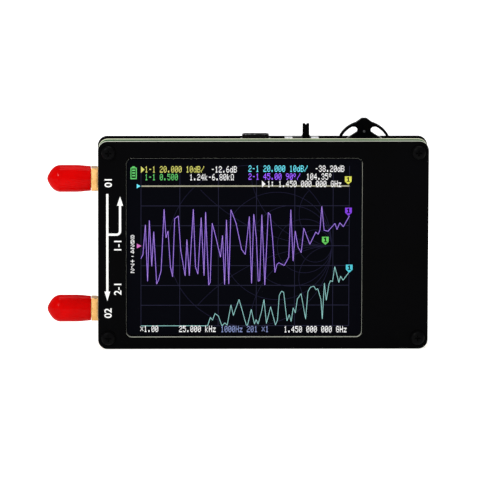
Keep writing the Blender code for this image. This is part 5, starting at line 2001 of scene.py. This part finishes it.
@dataclass
class BoardComponents:
    """Cans, chips, lights and small parts on the back of the main board."""

    seed: int = 7
    lid_thickness: float = 0.25
    lid_side: float = 11.6
    lid_corner: float = 0.5
    vent_steps: tuple[float, ...] = (-1.5, -0.5, 0.5, 1.5)
    vent_pitch: float = 2.1
    vent_radius: float = 0.45
    contact_size: float = 0.35
    contact_half: float = 0.12
    contact_inset: float = 0.4
    contact_height: float = 0.3
    chip_faces: Point = (0.1, 0.02)
    dot_radius: float = 0.2
    dot_inset: float = 0.6
    dot_depth: float = 0.04
    crystal_sill: float = 0.45
    crystal_tiers: tuple[Point3, ...] = ((0.1, 0.45, 0.2), (0.25, 0.2, 0.0))
    lamp_inset: float = 0.2
    lamp_end: Point = (0.25, 0.35)
    lens_inset: Point = (0.35, 0.12)
    small_part_size: Point = (0.8, 1.0)
    small_part_heights: Point = (0.35, 0.55)
    small_part_end: float = 0.35
    small_part_inset: float = 0.3
    small_part_spread: float = 1.25
    small_part_skin: float = 0.01
    small_part_rows: tuple[tuple[float, float, int, float], ...] = (
        (24.0, 57.0, 6, 1.9), (23.0, 53.2, 8, 1.9), (23.0, 49.4, 8, 1.9),
        (-14.0, 57.5, 6, 2.0), (-14.0, 53.6, 7, 2.0), (-14.0, 48.0, 9, 2.0),
        (-32.0, 50.2, 5, 2.0), (-32.0, 46.4, 6, 2.0), (24.0, 40.0, 7, 2.0),
        (24.0, 36.0, 7, 2.0), (-46.0, 44.0, 5, 2.1), (-46.0, 27.0, 5, 2.1))

    def can(self, node: str) -> None:
        """Builds a shield can with a stepped lid and rows of vent holes.

        Args:
            node: The CAD node that it stands for.
        """
        low, high = node_box(node)
        middle, sill = middle_of(low, high), high.y - self.lid_thickness
        walls = Shape().block(low, (high.x, sill, high.z)).rounded(0.2, 3)
        steps = product(self.vent_steps, repeat=2)
        vents = [Ring((middle[0] + a * self.vent_pitch, middle[1] + b * self.vent_pitch),
                      self.vent_radius, 16) for a, b in steps]
        edge = Loop(middle, self.lid_side, self.lid_side, self.lid_corner, 4)
        lid = Shape().plate([edge, *vents], sill, high.y).rounded(0.05, 1)
        walls.paint(1, lambda face: face.calc_center_median().y > sill - 0.01)
        walls.joined(lid).piece(f"{node}_stamped", [STEEL, BLACK_ZINC], node)

    def chip(self, node: str, pads: int) -> None:
        """Builds a flat chip with its corner dot and its row of contacts.

        Args:
            node: The CAD node that it stands for.
            pads: How many contacts each side has.
        """
        low, high = node_box(node)
        front, back = self.chip_faces
        chip = Shape().block((low.x, low.y + front, low.z), (high.x, high.y - back, high.z))
        size, half, top = self.contact_size, self.contact_half, low.y + self.contact_height
        contacts = Shape()
        for step in range(pads):
            run = high.x - low.x - 2 * self.contact_inset
            along = self.contact_inset + step * run / (pads - 1)
            x, z = low.x + along, low.z + along
            for low_z in (low.z, high.z - size):
                contacts.block((x - half, low.y, low_z), (x + half, top, low_z + size))
            for low_x in (low.x, high.x - size):
                contacts.block((low_x, low.y, z - half), (low_x + size, top, z + half))
        corner = (low.x + self.dot_inset, high.y, high.z - self.dot_inset)
        radius, depth = self.dot_radius, self.dot_depth
        profile = [(0, -depth), (radius, -depth), (radius, 0), (0, 0)]
        dot = Shape().lathe(profile, 16, at(corner, FACING_BACK))
        chip.rounded(0.08).joined(contacts.paint(1), dot.paint(2))
        chip.piece(f"{node}_moulded", [CHIP_RESIN, TIN, TAN_CERAMIC], node)

    def crystal(self) -> None:
        """Builds the reference crystal: a plated ring with a steel lid on ceramic."""
        node = "reference_crystal"
        low, high = node_box(node)
        base = Shape().block(low, (high.x, high.y - self.crystal_sill, high.z)).rounded(0.1)
        rim, lid = (
            Shape().block((low.x + inset, high.y - bottom, low.z + inset),
                          (high.x - inset, high.y - top, high.z - inset))
            for inset, bottom, top in self.crystal_tiers)
        base.joined(rim.paint(1), lid.rounded(0.08).paint(2))
        base.piece(f"{node}_lidded", [TAN_CERAMIC, GOLD_PLATE, STEEL], node)

    def lamp(self, node: str) -> None:
        """Builds a status light with its lens and its two ends.

        Args:
            node: The CAD node that it stands for.
        """
        low, high = node_box(node)
        top, inset = high.y - self.lid_thickness, self.lamp_inset
        (side, edge), (wide, tall) = self.lens_inset, self.lamp_end
        body = Shape().block((low.x + inset, low.y, low.z), (high.x - inset, top, high.z))
        lens = Shape().block((low.x + side, top, low.z + edge),
                             (high.x - side, high.y, high.z - edge))
        ends = Shape().block(low, (low.x + wide, low.y + tall, high.z))
        ends.block((high.x - wide, low.y, low.z), (high.x, low.y + tall, high.z))
        body.joined(lens.rounded(0.1, 3).paint(1), ends.paint(2))
        body.piece(f"{node}_lens", [WHITE_RESIN, YELLOW_LENS, GOLD_PLATE], node)

    def small_parts(self) -> None:
        """Builds the rows of small resistors and capacitors between the chips."""
        rng = random.Random(self.seed)
        _, board_high = node_box("main_board")
        skin, end, inset = self.small_part_skin, self.small_part_end, self.small_part_inset
        floor, parts, (width, length) = board_high.y + skin, Shape(), self.small_part_size
        for x, z, count, pitch in self.small_part_rows:
            for step in range(count):
                left, kind = x + step * pitch, rng.choice((0, 0, 1))
                right, top = left + width, floor + self.small_part_heights[kind]
                made = Shape().block((left, floor, z + inset), (right, top, z + inset + length))
                made.rounded(0.04, 1).paint(kind)
                for low in (z, z + self.small_part_spread):
                    cap = Shape().block((left - skin, floor, low),
                                        (right + skin, top + skin, low + end))
                    made.joined(cap.rounded(0.05, 1).paint(2))
                parts.joined(made)
        parts.piece("main_board_small_parts", [CHIP_RESIN, TAN_CERAMIC, TIN], slot="chip_black")

    def build(self) -> None:
        """Builds all the components."""
        for number in (1, 2):
            self.can(f"shield_can_{number}")
            self.lamp(f"status_led_{number}")
        for node, pads in (("processor", 12), ("synthesizer", 6), ("charger_chip", 5)):
            self.chip(node, pads)
        self.crystal()
        self.small_parts()


@dataclass
class Studio:
    """The floor, the light and the camera at the photograph's angle."""

    camera_place: Point3 = (-0.0595, -2.2, 0.39947)
    camera_degrees: Point3 = (-9.467, -1.438, -0.168)
    lens: float = 481.32
    floor_size: float = 14.0
    floor_drop: float = 0.00005
    floor_glow: float = 0.42
    sky_strength: float = 0.6
    lamps: tuple[tuple[str, Point3, float, float], ...] = (
        ("key_light", (-0.55, -0.85, 0.75), 0.3, 8.0), ("top_light", (0.1, 0.25, 1.1), 0.8, 5.0))
    aim: Point3 = (0.0, 0.0, 0.035)
    paper: Finish = Finish("floor_paper", (250, 250, 250), (247, 247, 247), (0.8, 0.9),
                           gloss=0.1, patch=400.0, relief=0.0)

    def camera(self) -> None:
        """Sets up the camera from its pitch, yaw and roll."""
        pitch, yaw, roll = (math.radians(angle) for angle in self.camera_degrees)
        data = bpy.data.cameras.new("camera")
        data.lens, data.sensor_width = self.lens, 36.0
        data.clip_start, data.clip_end = 0.1, 60.0
        turn = Matrix.Rotation(yaw, 4, "Z") @ Matrix.Rotation(math.pi / 2 + pitch, 4, "X")
        made = link("camera", data)
        made.matrix_world = at(self.camera_place, turn) @ Matrix.Rotation(-roll, 4, "Z")
        bpy.context.scene.camera = made

    def floor(self) -> None:
        """Lays the pale floor."""
        shape = Shape()
        bmesh.ops.create_grid(shape.bm, x_segments=1, y_segments=1, size=self.floor_size / 2,
                              matrix=Matrix.Translation((0, 0, -self.floor_drop)))
        material = self.paper.material()
        inputs = material.node_tree.nodes["Principled BSDF"].inputs
        inputs["Emission Color"].default_value = (1.0, 1.0, 1.0, 1.0)
        inputs["Emission Strength"].default_value = self.floor_glow
        made = link("floor", shape.mesh("floor"))
        made.data.materials.append(material)

    def lamp(self, name: str, place: Point3, size: float, watts: float) -> None:
        """Hangs a soft square light that faces the object.

        Args:
            name: Its name.
            place: Where it hangs.
            size: The length of its sides.
            watts: Its power.
        """
        data = bpy.data.lights.new(name, "AREA")
        data.shape, data.size, data.energy = "SQUARE", size, watts
        made = link(name, data)
        made.location = place
        aim = Vector(self.aim) - Vector(place)
        made.rotation_euler = aim.to_track_quat("-Z", "Y").to_euler()

    def build(self) -> None:
        """Builds the studio."""
        scene = bpy.context.scene
        scene.view_settings.view_transform = "Standard"
        scene.world = bpy.data.worlds.new("studio")
        scene.world.use_nodes = True
        sky = scene.world.node_tree.nodes["Background"]
        sky.inputs["Color"].default_value = (1.0, 1.0, 1.0, 1.0)
        sky.inputs["Strength"].default_value = self.sky_strength
        for name, place, size, watts in self.lamps:
            self.lamp(name, place, size, watts)
        self.floor()
        self.camera()


def main() -> None:
    """Builds every sub-assembly in order and reports each piece."""
    logging.basicConfig(level=logging.INFO, format="%(name)s: %(message)s")
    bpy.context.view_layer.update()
    assemblies = (BoardStack(), Fasteners(), Display(), Legend(), AntennaPort(1, "cap_upper"),
                  AntennaPort(2, "cap_lower"), ChargingSocket(), PowerSwitch(), ThumbRocker(),
                  BatteryPack(), BoardComponents(), Studio())
    for assembly in assemblies:
        LOG.info("building %s", type(assembly).__name__)
        assembly.build()


if __name__ == "__main__":
    main()
